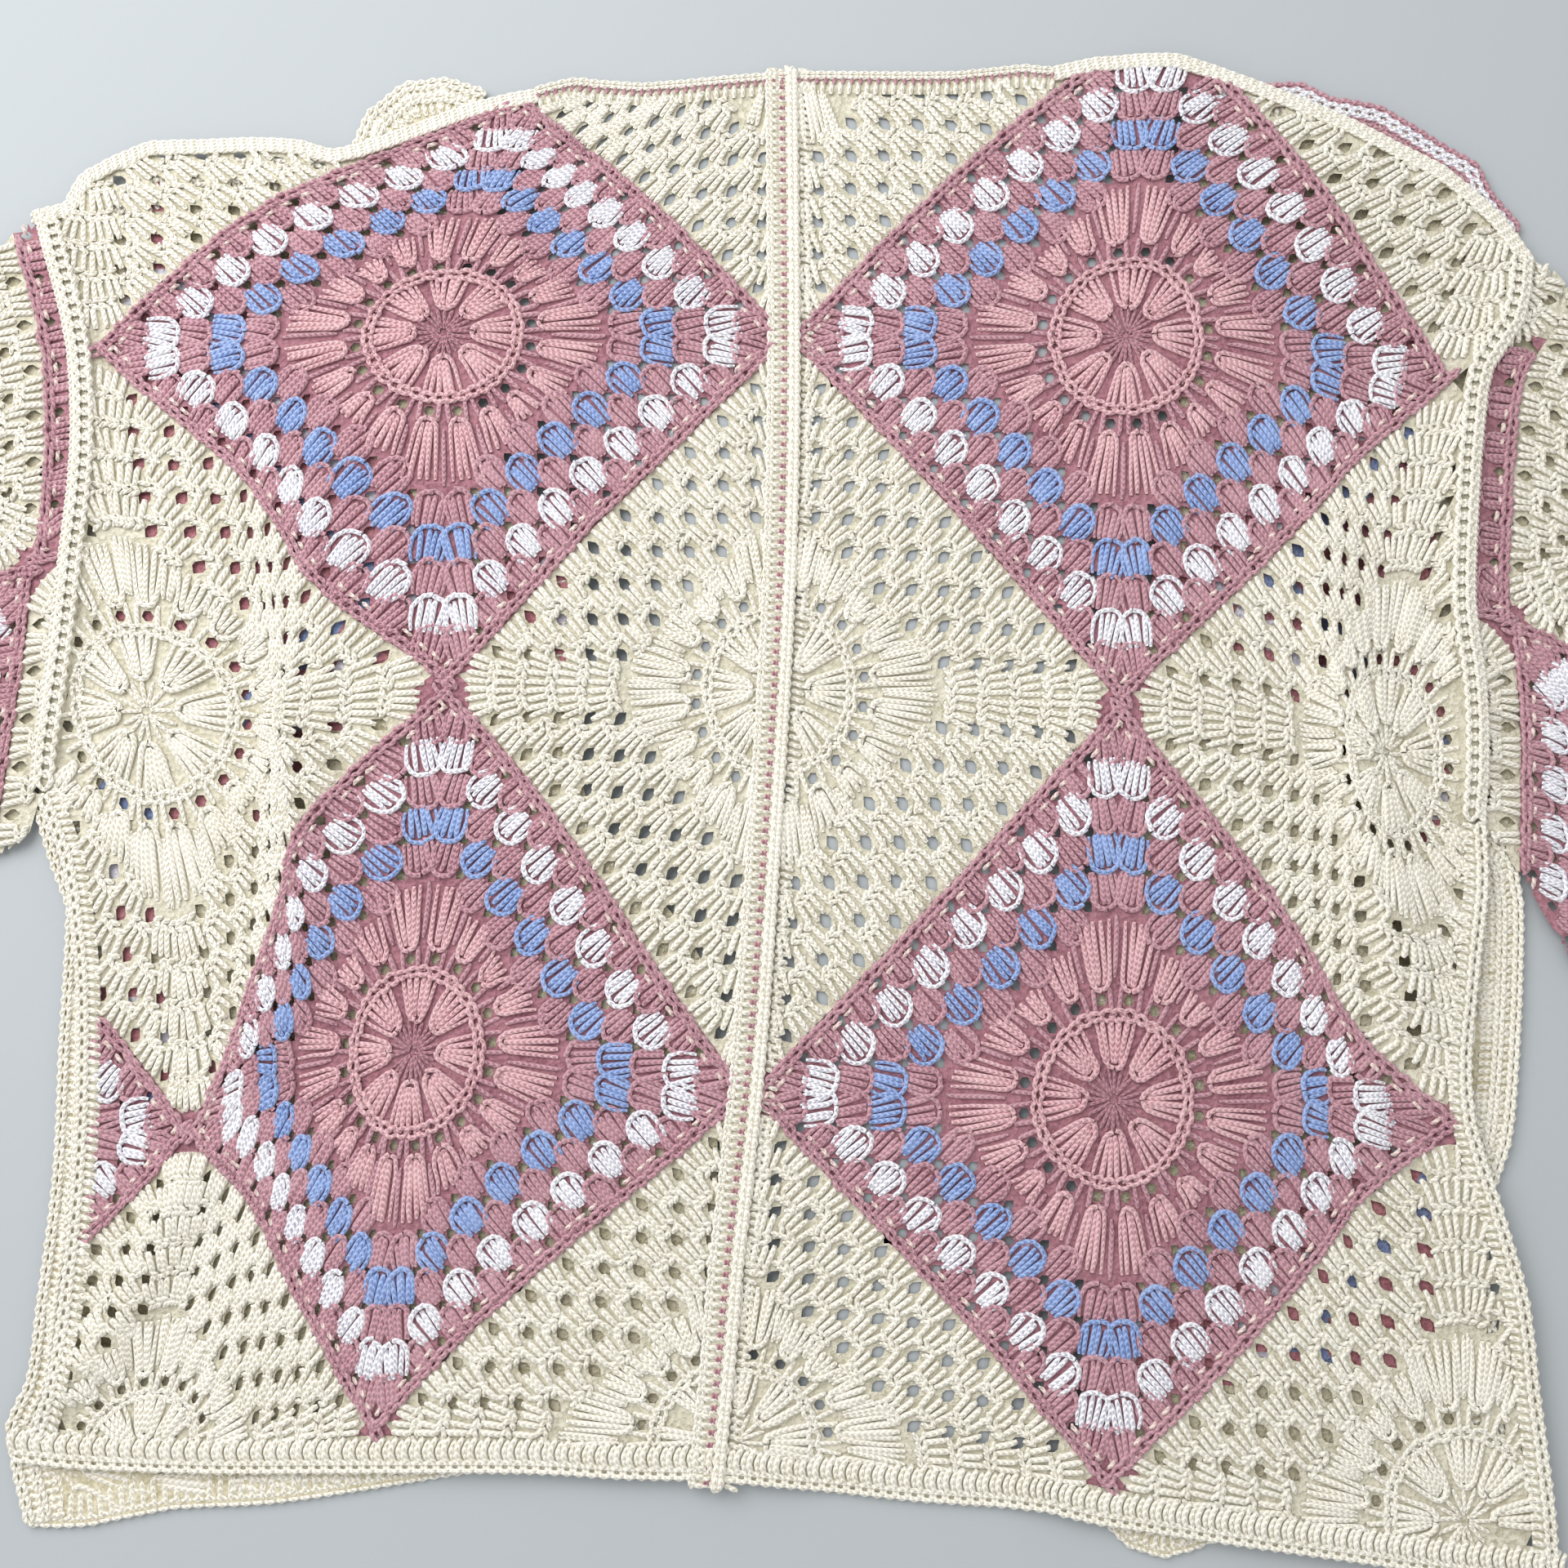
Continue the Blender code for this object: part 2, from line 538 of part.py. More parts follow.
# Borders of the upper layer
band("centre_back_border", CENTRE, 0, CENTRE_BAND)
half_neck = [("neck_border_left", -1), ("neck_border_right", 1)]
for name, side in half_neck:
    sheet(name, "cream", strip(NECK, 0, NECK_BAND), upper_underside, thickness=BORDER,
          minus=[centre_cut], spacing=0, only=side_test(side),
          extra=offset_line(smooth_line(NECK), -NECK_BAND / 2)[1:-1], crown=0.5)
for name, side in (("hem_rib_left", -1), ("hem_rib_right", 1)):
    sheet(name, "cream", strip(HEM, RIB, 0), upper_underside, thickness=BORDER,
          minus=[centre_cut], spacing=0, only=side_test(side),
          extra=offset_line(smooth_line(HEM), RIB / 2)[1:-1], crown=0.5)
for name, line, half in (("armhole_border_left", ARM_LEFT, ARM_BAND / 2),
                         ("armhole_border_right", ARM_RIGHT, ARM_BAND / 2)):
    band(name, line, half, half, minus=side_cuts + shoulder_cuts)
for name, line, half in (("side_border_left", SIDE_LEFT, SIDE_BAND / 2),
                         ("side_border_right", SIDE_RIGHT, SIDE_BAND / 2)):
    band(name, line, half, half, minus=[hem_cut])
for name, line in (("shoulder_border_left", SHOULDER_LEFT),
                   ("shoulder_border_right", SHOULDER_RIGHT)):
    band(name, line, 0, SHOULDER_BAND, minus=[neck_cut])


def sleeve_outline(arm, top, low, inset=0.0):
    """Outline of a flattened sleeve from the armhole to the wrist."""
    upper, lower, seam = smooth_line(top, 26.0), smooth_line(low, 26.0), smooth_line(arm)
    turn = 1.0 if top[-1][0] < top[0][0] else -1.0
    return np.vstack((offset_line(upper, turn * inset), offset_line(lower, -turn * inset)[::-1],
                      seam[1:-1][::-1]))


def cuff_line(top, low, inset):
    """Line of the wrist edge, ending inset from both edges of the sleeve."""
    ends = np.array((top[-1], low[-1]), dtype=float)
    way = (ends[1] - ends[0]) / np.linalg.norm(ends[1] - ends[0])
    return [tuple(ends[0] + way * inset), tuple(ends.mean(axis=0)), tuple(ends[1] - way * inset)]


UNDER_INSET = 6.5
for tag, arm, top, low, arm_cut, way in (
        ("left", ARM_LEFT, SLEEVE_TOP_LEFT, SLEEVE_LOW_LEFT, arm_cuts[0], 1),
        ("right", ARM_RIGHT, SLEEVE_TOP_RIGHT, SLEEVE_LOW_RIGHT, arm_cuts[1], -1)):
    for layer, inset, underside, minus in (
            ("upper", 0.0, upper_underside, [arm_cut] + shoulder_cuts + side_cuts),
            ("under", UNDER_INSET, lower_underside, [strip(arm, SEAM_GAP, SEAM_GAP, SEAM_GAP)])):
        wrist = cuff_line(top, low, inset)
        sides = (RIB, 0.0) if way > 0 else (0.0, RIB)
        cuff_cut = strip(wrist, *sides, SEAM_GAP)
        outline = sleeve_outline(arm, top, low, inset)
        extra = CREST_POINTS if layer == "upper" else ()
        sheet("sleeve_" + layer + "_" + tag, "cream", outline, underside,
              minus=minus + [cuff_cut], extra=extra)
        band("cuff_rib_" + layer + "_" + tag, wrist, *sides, underside=underside,
             thickness=BORDER if layer == "upper" else CLOTH, crown=0.0)

# The fronts under the back, each with its edge border and its hem rib
for tag, edge, top, hem, side, arm, way in (
        ("left", FRONT_EDGE_LEFT, FRONT_TOP_LEFT, FRONT_HEM_LEFT, FRONT_SIDE_LEFT, ARM_LEFT, -1),
        ("right", FRONT_EDGE_RIGHT, FRONT_TOP_RIGHT, FRONT_HEM_RIGHT, FRONT_SIDE_RIGHT,
         ARM_RIGHT, 1)):
    seam = offset_line(smooth_line(arm), way * SEAM_GAP)
    loop = [smooth_line(edge)]
    loop.append(smooth_line(hem)[::-1][1:] if tag == "left" else smooth_line(hem)[1:])
    loop.append(smooth_line(side)[::-1][1:])
    loop.append(seam[1:-1][::-1])
    loop.append(smooth_line(top)[:-1] if tag == "left" else smooth_line(top)[1:][::-1])
    outline = np.vstack(loop)
    edge_sides = (0.0, RIB) if tag == "left" else (RIB, 0.0)
    edge_cut = strip(edge, *edge_sides, SEAM_GAP)
    hem_sides = (RIB, 0.0)
    front_hem_cut = strip(hem, *hem_sides, SEAM_GAP)
    sheet("front_" + tag, "cream", outline, lower_underside, minus=[edge_cut, front_hem_cut])
    band("front_edge_border_" + tag, edge, *edge_sides, underside=lower_underside,
         thickness=CLOTH, crown=0.0)
    band("front_hem_rib_" + tag, hem, *hem_sides, underside=lower_underside, thickness=CLOTH,
         crown=0.0, minus=[edge_cut])

low = np.min([np.min([v.co for v in obj.data.vertices], axis=0) for obj in bpy.data.objects], axis=0)
high = np.max([np.max([v.co for v in obj.data.vertices], axis=0) for obj in bpy.data.objects], axis=0)
print("box in mm:", np.round(low * 1000, 2), np.round(high * 1000, 2))
print("triangles:", sum(len(obj.data.polygons) for obj in bpy.data.objects))
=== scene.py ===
# %% [markdown]
# # A crochet cardigan laid flat, back up
# The cardigan is made of granny squares set on their points: cream ones, and rose ones with a
# flower, blue and white clusters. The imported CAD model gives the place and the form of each
# piece of cloth. This script dresses it: every square gets a thin ground of cloth with its gaps
# cut out, and on it the posts of yarn that a crocheter would make, one tube for each post.
# We could paint the stitches on a flat sheet with a bump map, but the photograph shows the posts
# with dark slits between them, so they are made as real geometry.

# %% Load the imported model
import math

import bpy
import numpy as np
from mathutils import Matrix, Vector
from mathutils.geometry import delaunay_2d_cdt


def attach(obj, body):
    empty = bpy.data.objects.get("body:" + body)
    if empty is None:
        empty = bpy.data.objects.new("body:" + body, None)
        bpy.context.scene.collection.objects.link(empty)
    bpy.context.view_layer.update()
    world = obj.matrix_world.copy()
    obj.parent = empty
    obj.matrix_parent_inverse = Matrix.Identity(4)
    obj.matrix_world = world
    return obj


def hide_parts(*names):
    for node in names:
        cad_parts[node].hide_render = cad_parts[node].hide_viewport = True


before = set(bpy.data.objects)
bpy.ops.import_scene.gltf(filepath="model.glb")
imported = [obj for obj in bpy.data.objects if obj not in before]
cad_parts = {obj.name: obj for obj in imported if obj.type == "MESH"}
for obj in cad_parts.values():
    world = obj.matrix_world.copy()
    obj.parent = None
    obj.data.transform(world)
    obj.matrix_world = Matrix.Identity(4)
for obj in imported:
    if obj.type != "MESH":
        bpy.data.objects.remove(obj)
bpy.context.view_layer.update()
print("CAD nodes:", len(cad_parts))

# %% [markdown]
# ## Lines of the garment
# All lines are in millimetres, x to the right and y to the neck, from a point near the middle of
# the back. They are the seams and edges of the CAD model, repeated here. A yarn post placed with
# them lies exactly where the cloth is.

# %% Sizes of the cloth and its bands
MM = 0.001
CENTRE_X, CENTRE_Y = -29.5, 1.26
CLOTH, LAYER_GAP = 2.2, 1.1
UNIT = 137.0             # centre of a square to its point
CENTRE_BAND, NECK_BAND, RIB, ARM_BAND, SIDE_BAND, SHOULDER_BAND = 12.0, 8.5, 12.0, 9.0, 8.0, 5.0
RIM, SLEEVE_DROP, SHOULDER_DROP = 5.0, 2.0, 0.5
DRAPE_START, DRAPE_WIDTH = 12.0, 34.0

# %% Seams and edges
SHOULDER_LEFT = ((-302, 231), (-290, 234), (-284, 246), (-273, 253), (-258, 260), (-237, 261),
                 (-217, 262), (-196, 261), (-183, 257), (-162, 263), (-126, 277), (-101, 283))
NECK = ((-101, 284), (-86, 289), (-59, 287), (-25, 290), (2, 292), (29, 292), (70, 292), (97, 295),
        (110, 294))
SHOULDER_RIGHT = ((110, 294), (127, 298), (160, 298), (175, 293), (193, 286), (228, 271),
                  (248, 260), (265, 251), (277, 241), (288, 230), (300, 212))
ARM_LEFT = ((-297, 231), (-287, 201), (-280, 174), (-277, 144), (-277, 117), (-279, 90),
            (-281, 58), (-284, 25), (-287, -2))
ARM_RIGHT = ((296, 212), (290, 186), (277, 167), (272, 144), (268, 110), (265, 71), (267, 48),
             (268, 25), (266, -14))
SIDE_LEFT = ((-284, -5), (-273, -29), (-268, -54), (-265, -76), (-263, -113), (-263, -153),
             (-266, -203), (-269, -227), (-275, -246))
SIDE_RIGHT = ((266, -17), (265, -41), (259, -79), (256, -100), (256, -129), (264, -159),
              (273, -195), (275, -224), (278, -259), (280, -288))
CENTRE = ((5, 293), (6, 181), (5, 104), (2, 37), (-2, -28), (-7, -101), (-12, -150), (-16, -186),
          (-18, -212), (-23, -262))
HEM = ((-285, -252), (-266, -254), (-217, -256), (-167, -256), (-97, -256), (-60, -258),
       (-23, -259), (14, -263), (51, -267), (97, -270), (115, -274), (170, -282), (207, -287),
       (244, -292), (284, -296))
FRONT_EDGE_LEFT = ((-122, 284), (-132, 218), (-124, 150), (-84, 84), (-76, -10), (-31, -70),
                   (-25, -168), (-23, -250))
FRONT_EDGE_RIGHT = ((170, 287), (161, 218), (160, 167), (141, 58), (115, -88), (114, -156),
                    (120, -276))
FRONT_TOP_LEFT = ((-291, 221), (-268, 243), (-235, 253), (-200, 254), (-180, 250), (-170, 273),
                  (-156, 286), (-139, 289), (-122, 284))
FRONT_TOP_RIGHT = ((170, 287), (190, 286), (210, 287), (222, 281), (242, 277), (255, 269),
                   (268, 260), (280, 253), (286, 240), (297, 226))
FRONT_HEM_LEFT = ((-280, -276), (-259, -276), (-228, -270), (-191, -268), (-155, -263),
                  (-130, -259), (-79, -252), (-23, -250))
FRONT_HEM_RIGHT = ((120, -276), (127, -283), (139, -287), (150, -285), (175, -276), (200, -279),
                   (240, -284), (271, -287))
FRONT_SIDE_LEFT = ((-291, -8), (-283, -31), (-276, -47), (-276, -101), (-276, -150), (-280, -200),
                   (-282, -224), (-289, -240), (-286, -256), (-280, -276))
FRONT_SIDE_RIGHT = ((270, -14), (282, -29), (284, -45), (283, -67), (280, -101), (275, -137),
                    (266, -160), (264, -185), (268, -220), (270, -255), (271, -287))
SLEEVE_TOP_LEFT = ((-300, 230), (-308, 224), (-316, 219), (-420, 172), (-560, 104), (-693, 38))
SLEEVE_LOW_LEFT = ((-288, -6), (-292, -22), (-303, -28), (-380, -46), (-500, -78), (-636, -122))
SLEEVE_TOP_RIGHT = ((301, 212), (307, 209), (316, 201), (420, 116), (530, 16), (634, -92))
SLEEVE_LOW_RIGHT = ((269, -17), (284, -36), (301, -68), (344, -118), (420, -168), (524, -228))
print("neck opening:", NECK[-1][0] - NECK[0][0], "mm wide")

# %% [markdown]
# ## Where the squares lie
# The real squares are a lattice that the wearing has pulled out of shape. So the places of their
# corners and centres were read from the photograph as a table of millimetres, and what lies
# between them follows from it.

# %% Corners and squares
# Places of the corners and centres of the squares: row j, then i with x and y in millimetres
LATTICE = {
    2: ((-2, -287, 309), (-1, -106, 281), (0, 3, 328), (1, 153, 316), (2, 324, 309)),
    1: ((-2, -275, 174), (-1, -136, 181), (0, 2, 180), (1, 137, 180), (2, 266, 161)),
    0: ((-2, -248, 28), (-1.64, -199, 29), (-1.41, -194, 30), (-1, -132, 38), (0, -2, 37),
        (1, 131, 31), (1.6, 206, 20), (1.77, 216, 17), (2, 232, 11)),
    -1: ((-2, -225, -133), (-1.64, -197, -113), (-1.41, -181, -108), (-1, -141, -103),
         (0, -13, -118), (1, 125, -121), (1.6, 200, -122), (1.77, 217, -125), (2, 255, -130)),
    -2: ((-2, -238, -254), (-1, -152, -244), (0, -18, -246), (1, 119, -263), (2, 251, -274)),
}

# Squares of the back: node, i and j of the centre, side of the centre border (0: both). Those
# called pink are rose squares, the others cream.
SQUARES = (
    ("square_pink_top_left", -1, 1, 0), ("square_pink_top_right", 1, 1, 0),
    ("square_pink_low_left", -1, -1, 0), ("square_pink_low_right", 1, -1, 0),
    ("square_pink_side_left", -3, -1, 0),
    ("square_cream_centre_left", 0, 0, -1), ("square_cream_centre_right", 0, 0, 1),
    ("square_cream_neck_left", 0, 2, -1), ("square_cream_neck_right", 0, 2, 1),
    ("square_cream_hem_left", 0, -2, -1), ("square_cream_hem_right", 0, -2, 1),
    ("square_cream_side_left", -2, 0, 0), ("square_cream_side_right", 2, 0, 0),
    ("square_cream_shoulder_left", -2, 2, 0), ("square_cream_shoulder_right", 2, 2, 0),
    ("square_cream_corner_left", -2, -2, 0), ("square_cream_corner_right", 2, -2, 0),
)

print("squares of the back:", len(SQUARES), "with sides of %.0f mm" % (UNIT * math.sqrt(2)))

# %% Folds
# Folds of the upper layer: line, height, width to the left and right of it, fading at its ends
FOLDS = (
    (((207, 130), (209, 77), (214, 25), (223, -32), (236, -85), (249, -116)), 8.0, 32, 9, 45),
    (((-199, 60), (-196, 19), (-194, -38), (-200, -94), (-208, -124)), 7.0, 30, 9, 40),
    (((-217, -134), (-232, -168), (-248, -198), (-272, -240)), 5.0, 16, 14, 25),
    (((212, -98), (219, -128), (225, -156)), 3.5, 12, 14, 20),
    (((-256, 208), (-204, 222), (-152, 235)), 3.0, 34, 40, 50),
    (((172, 250), (211, 229), (242, 191)), 3.5, 42, 42, 50),
    (ARM_LEFT, 3.0, 13, 13, 20),
    (ARM_RIGHT, 3.0, 13, 13, 20),
    (SIDE_LEFT, 2.0, 11, 11, 20),
    (SIDE_RIGHT, 2.0, 11, 11, 20),
    (((-330, 120), (-430, 84), (-560, 30)), 4.5, 34, 30, 60),
    (((-312, -2), (-380, -14), (-470, -36)), 3.5, 18, 22, 40),
    (((330, 110), (420, 44), (520, -60)), 4.5, 32, 34, 60),
    (((300, -30), (350, -66), (420, -110)), 3.5, 20, 20, 40),
)

# %% [markdown]
# ## Small tools for lines
# A seam is a curve through a few points. These helpers make the curve, move it sideways, measure
# how far points are from it, and tell which points lie inside an outline. They are plain numpy,
# so that thousands of stitches are placed at once.

# %% Curves
def smooth_step(value):
    """0 to 1 with a soft start and end."""
    value = np.clip(value, 0.0, 1.0)
    return value * value * (3.0 - 2.0 * value)


def smooth_line(points, step=14.0):
    """A Catmull-Rom curve through points, with a place about every step."""
    rows = np.array(points, dtype=float)
    before = np.vstack((2 * rows[0] - rows[1], rows, 2 * rows[-1] - rows[-2]))
    pieces = []
    for a, b, c, d in zip(before, before[1:], before[2:], before[3:]):
        count = max(1, int(round(np.linalg.norm(c - b) / step)))
        for t in np.arange(count) / count:
            pieces.append(0.5 * (2 * b + (c - a) * t + (2 * a - 5 * b + 4 * c - d) * t ** 2
                                 + (3 * b - a - 3 * c + d) * t ** 3))
    pieces.append(rows[-1])
    return np.array(pieces)


def offset_line(line, distance):
    """A line moved to its left."""
    line = np.asarray(line, dtype=float)
    normal = left_of(np.gradient(line, axis=0))
    normal /= np.linalg.norm(normal, axis=1)[:, None]
    return line + normal * distance


# %% Inside and distance
def inside(points, outline):
    """Which points lie in a closed outline: a ray from each crosses it an odd number of times."""
    x, y = points[:, 0][:, None], points[:, 1][:, None]
    a, b = outline, np.roll(outline, -1, axis=0)
    crosses = (a[:, 1] > y) != (b[:, 1] > y)
    rise = np.where(b[:, 1] == a[:, 1], 1.0, b[:, 1] - a[:, 1])
    at = a[:, 0] + (y - a[:, 1]) * (b[:, 0] - a[:, 0]) / rise
    return (np.sum(crosses & (x < at), axis=1) % 2) == 1


def from_line(points, line):
    """Distance of points from a line, the side (1 = left) and the way along it."""
    a, b = line[:-1], line[1:]
    run = b - a
    length = np.linalg.norm(run, axis=1)
    rel = points[:, None, :] - a[None]
    share = np.clip((rel * run).sum(axis=2) / length ** 2, 0.0, 1.0)
    off = rel - share[..., None] * run
    dist = np.linalg.norm(off, axis=2)
    best = dist.argmin(axis=1)
    pick = np.arange(len(points))
    cross = run[best, 0] * rel[pick, best, 1] - run[best, 1] * rel[pick, best, 0]
    start = np.concatenate(([0.0], np.cumsum(length)[:-1]))
    way = start[best] + share[pick, best] * length[best]
    return dist[pick, best], np.where(cross >= 0, 1, -1), way


# %% Bands and steps along a line
def band_outline(points, left, right):
    """Outline of a band that reaches so far to the left and right of a line."""
    line = smooth_line(points)
    return np.vstack((offset_line(line, left), offset_line(line, -right)[::-1]))


def way_along(line):
    """Distance of each point of a line from its start."""
    return np.concatenate(([0.0], np.cumsum(np.linalg.norm(np.diff(line, axis=0), axis=1))))


def left_of(run):
    """Direction to the left of a direction."""
    return np.column_stack((-run[:, 1], run[:, 0]))


def along(line, spacing):
    """Evenly spaced places on a line, with the direction there."""
    way = way_along(line)
    count = max(2, int(round(way[-1] / spacing)) + 1)
    spots = np.linspace(0.0, way[-1], count)
    place = np.column_stack([np.interp(spots, way, line[:, k]) for k in (0, 1)])
    run = np.gradient(place, axis=0)
    return place, run / np.linalg.norm(run, axis=1)[:, None]


# %% [markdown]
# ## From the stitch plan to the cloth
# A granny square is planned flat, as a crochet chart. The real squares are pulled a little out
# of shape, and a fold swallows some of the cloth. So a square's corners are given in a small
# table, and smooth curves between them carry every stitch of the chart to its place.

# %% Carry chart places to the cloth
def limited_curve(places, values, where):
    """Values read between places along a smooth curve that never overshoots them."""
    places = np.asarray(places, dtype=float)
    secant = np.diff(values, axis=0) / np.diff(places)[:, None]
    slope = np.zeros_like(values)
    slope[0], slope[-1] = secant[0], secant[-1]
    same = secant[:-1] * secant[1:] > 0
    mean = 2 * secant[:-1] * secant[1:] / np.where(same, secant[:-1] + secant[1:], 1.0)
    slope[1:-1] = np.where(same, mean, 0.0)
    piece = np.clip(np.searchsorted(places, where) - 1, 0, len(places) - 2)
    pick = np.arange(len(where)) if values.shape[1] > 1 else np.zeros(len(where), dtype=int)
    h = np.diff(places)[piece]
    t = (where - places[piece]) / h
    low, high = values[piece, pick], values[piece + 1, pick]
    m0, m1 = slope[piece, pick] * h, slope[piece + 1, pick] * h
    return (low * (1 + 2 * t) * (1 - t) ** 2 + m0 * t * (1 - t) ** 2
            + high * t * t * (3 - 2 * t) + m1 * t * t * (t - 1))


def widened(row):
    """A row of the table with one more entry at each end."""
    table = np.array(row, dtype=float)
    first = table[0] - (table[-1] - table[0]) / (table[-1, 0] - table[0, 0])
    last = table[-1] + (table[-1] - table[0]) / (table[-1, 0] - table[0, 0])
    first[2], last[2] = table[0, 2], table[-1, 2]
    return np.vstack((first, table, last))


def lattice_place(ij):
    """Millimetres of points given in steps of the lattice."""
    rows = sorted(LATTICE)
    across = []
    for row in rows:
        table = widened(LATTICE[row])
        across.append([limited_curve(table[:, 0], table[:, k:k + 1], ij[:, 0]) for k in (1, 2)])
    across = np.array(across)
    stack = np.concatenate(((2 * across[0] - across[1])[None], across,
                            (2 * across[-1] - across[-2])[None]))
    places = [rows[0] - 1] + rows + [rows[-1] + 1]
    return np.column_stack([limited_curve(places, stack[:, k], ij[:, 1]) for k in (0, 1)])


# %% [markdown]
# ## How high the cloth lies
# The fronts lie flat on the table. The back lies on them, sinks to the table in the open middle,
# and has a few soft folds. The height is worked out once on a net of points 3 mm apart and then
# read from there, which is much faster than asking again for every stitch.

# %% Height of the upper layer
OPEN_LEFT = smooth_line(((FRONT_EDGE_LEFT[0][0], 400),) + FRONT_EDGE_LEFT
                        + ((FRONT_EDGE_LEFT[-1][0], -400),))
OPEN_RIGHT = smooth_line(((FRONT_EDGE_RIGHT[0][0], 400),) + FRONT_EDGE_RIGHT
                         + ((FRONT_EDGE_RIGHT[-1][0], -400),))
OPEN_MIDDLE = np.vstack((OPEN_LEFT, OPEN_RIGHT[::-1]))
FOLDED_EDGES = [(smooth_line(line), SHOULDER_DROP) for line in (SHOULDER_LEFT, SHOULDER_RIGHT)]
FOLDED_EDGES += [(smooth_line(line[2:]), SLEEVE_DROP) for line in
                 (SLEEVE_TOP_LEFT, SLEEVE_LOW_LEFT, SLEEVE_TOP_RIGHT, SLEEVE_LOW_RIGHT)]
NET = 3.0
NET_X = np.arange(-720.0, 661.0, NET)
NET_Y = np.arange(-320.0, 331.0, NET)
FOLD_REACH, RIM_REACH = 50.0, 9.0     # how far from its line a fold or a rim can matter


def close_to(points, line, reach=0.0):
    """Which points lie in the box round a line."""
    return ((points > line.min(axis=0) - reach) & (points < line.max(axis=0) + reach)).all(axis=1)


def upper_underside(points):
    """Height of the upper layer's underside: the layer below, the folds and the turned edges."""
    reach = np.where(inside(points, OPEN_MIDDLE), np.minimum(from_line(points, OPEN_LEFT)[0],
                                                             from_line(points, OPEN_RIGHT)[0]), 0.0)
    height = (CLOTH + LAYER_GAP) * (1.0 - smooth_step((reach - DRAPE_START) / DRAPE_WIDTH))
    for line, rise, left, right, fade in FOLDS:
        line = smooth_line(line)
        total = way_along(line)[-1]
        near = close_to(points, line, FOLD_REACH)
        dist, side, way = from_line(points[near], line)
        bump = 0.5 * (1.0 + np.cos(np.pi * np.clip(dist / np.where(side > 0, left, right), 0, 1)))
        height[near] += rise * bump * smooth_step(way / fade) * smooth_step((total - way) / fade)
    for edge, depth in FOLDED_EDGES:
        near = close_to(points, edge, RIM_REACH)
        height[near] -= depth * (1.0 - smooth_step(from_line(points[near], edge)[0] / RIM))
    return np.maximum(height, 0.0)


net_points = np.array([(x, y) for y in NET_Y for x in NET_X])
net_height = np.concatenate([upper_underside(part) for part in np.array_split(net_points, 12)])
net_height = net_height.reshape(len(NET_Y), len(NET_X))
print("height of the upper layer's underside: 0 to %.1f mm" % net_height.max())


def upper_height(points):
    """Height read from the net, blended between its four nearest points."""
    fx = np.clip((points[..., 0] - NET_X[0]) / NET, 0, len(NET_X) - 1.001)
    fy = np.clip((points[..., 1] - NET_Y[0]) / NET, 0, len(NET_Y) - 1.001)
    ix, iy = fx.astype(int), fy.astype(int)
    tx, ty = fx - ix, fy - iy
    low = net_height[iy, ix] * (1 - tx) + net_height[iy, ix + 1] * tx
    high = net_height[iy + 1, ix] * (1 - tx) + net_height[iy + 1, ix + 1] * tx
    return low * (1 - ty) + high * ty


def table_height(points):
    return np.zeros(points.shape[:-1])


# %% [markdown]
# ## Cotton crochet yarn
# The yarn is a soft two-ply cotton with an acrylic share, about 1.5 mm thick. It is matt, a
# little fuzzy, and each post shows a row of small slanted loops. The loops run along the tube,
# so they are drawn in the tube's own UV map, as a V-shaped wave in the bump and as painted shade
# in the colour: a darker groove colour for the dots and low places between the loops, where shade
# falls. Real loops are about 1.5 mm long; they are drawn 2.3 mm long, so that they show.
# The dye is uneven, which a slow noise gives, and a quick one gives the fuzz. The ground between
# the posts has no direction, so there a noise takes the place of the loops, again with painted
# shade in its low places. The yarns of the ground and of the layer underneath are darker copies
# of the yarns on top: painted shade between the posts and under the back. Cotton has an IOR
# near 1.53 and a roughness near 0.9; a little sheen stands for the fuzz that catches the light.

# %% Colours and nodes
def linear(hex_colour):
    """An sRGB hex colour as linear numbers."""
    parts = [int(hex_colour[k:k + 2], 16) / 255 for k in (1, 3, 5)]
    return tuple(c / 12.92 if c <= 0.04045 else ((c + 0.055) / 1.055) ** 2.4
                 for c in parts) + (1.0,)


def add(tree, kind, inputs=None, **settings):
    """Add a shader node with its settings and links; a node as input gives its first output."""
    node = tree.nodes.new("ShaderNode" + kind)
    for key, value in settings.items():
        setattr(node, key, value)
    for key, value in (inputs or {}).items():
        if isinstance(value, bpy.types.Node):
            value = value.outputs[0]
        if isinstance(value, bpy.types.NodeSocket):
            tree.links.new(value, node.inputs[key])
        else:
            node.inputs[key].default_value = value
    return node


# %% Cotton yarn
LOOP_MM = 2.3      # length of one small loop along a post


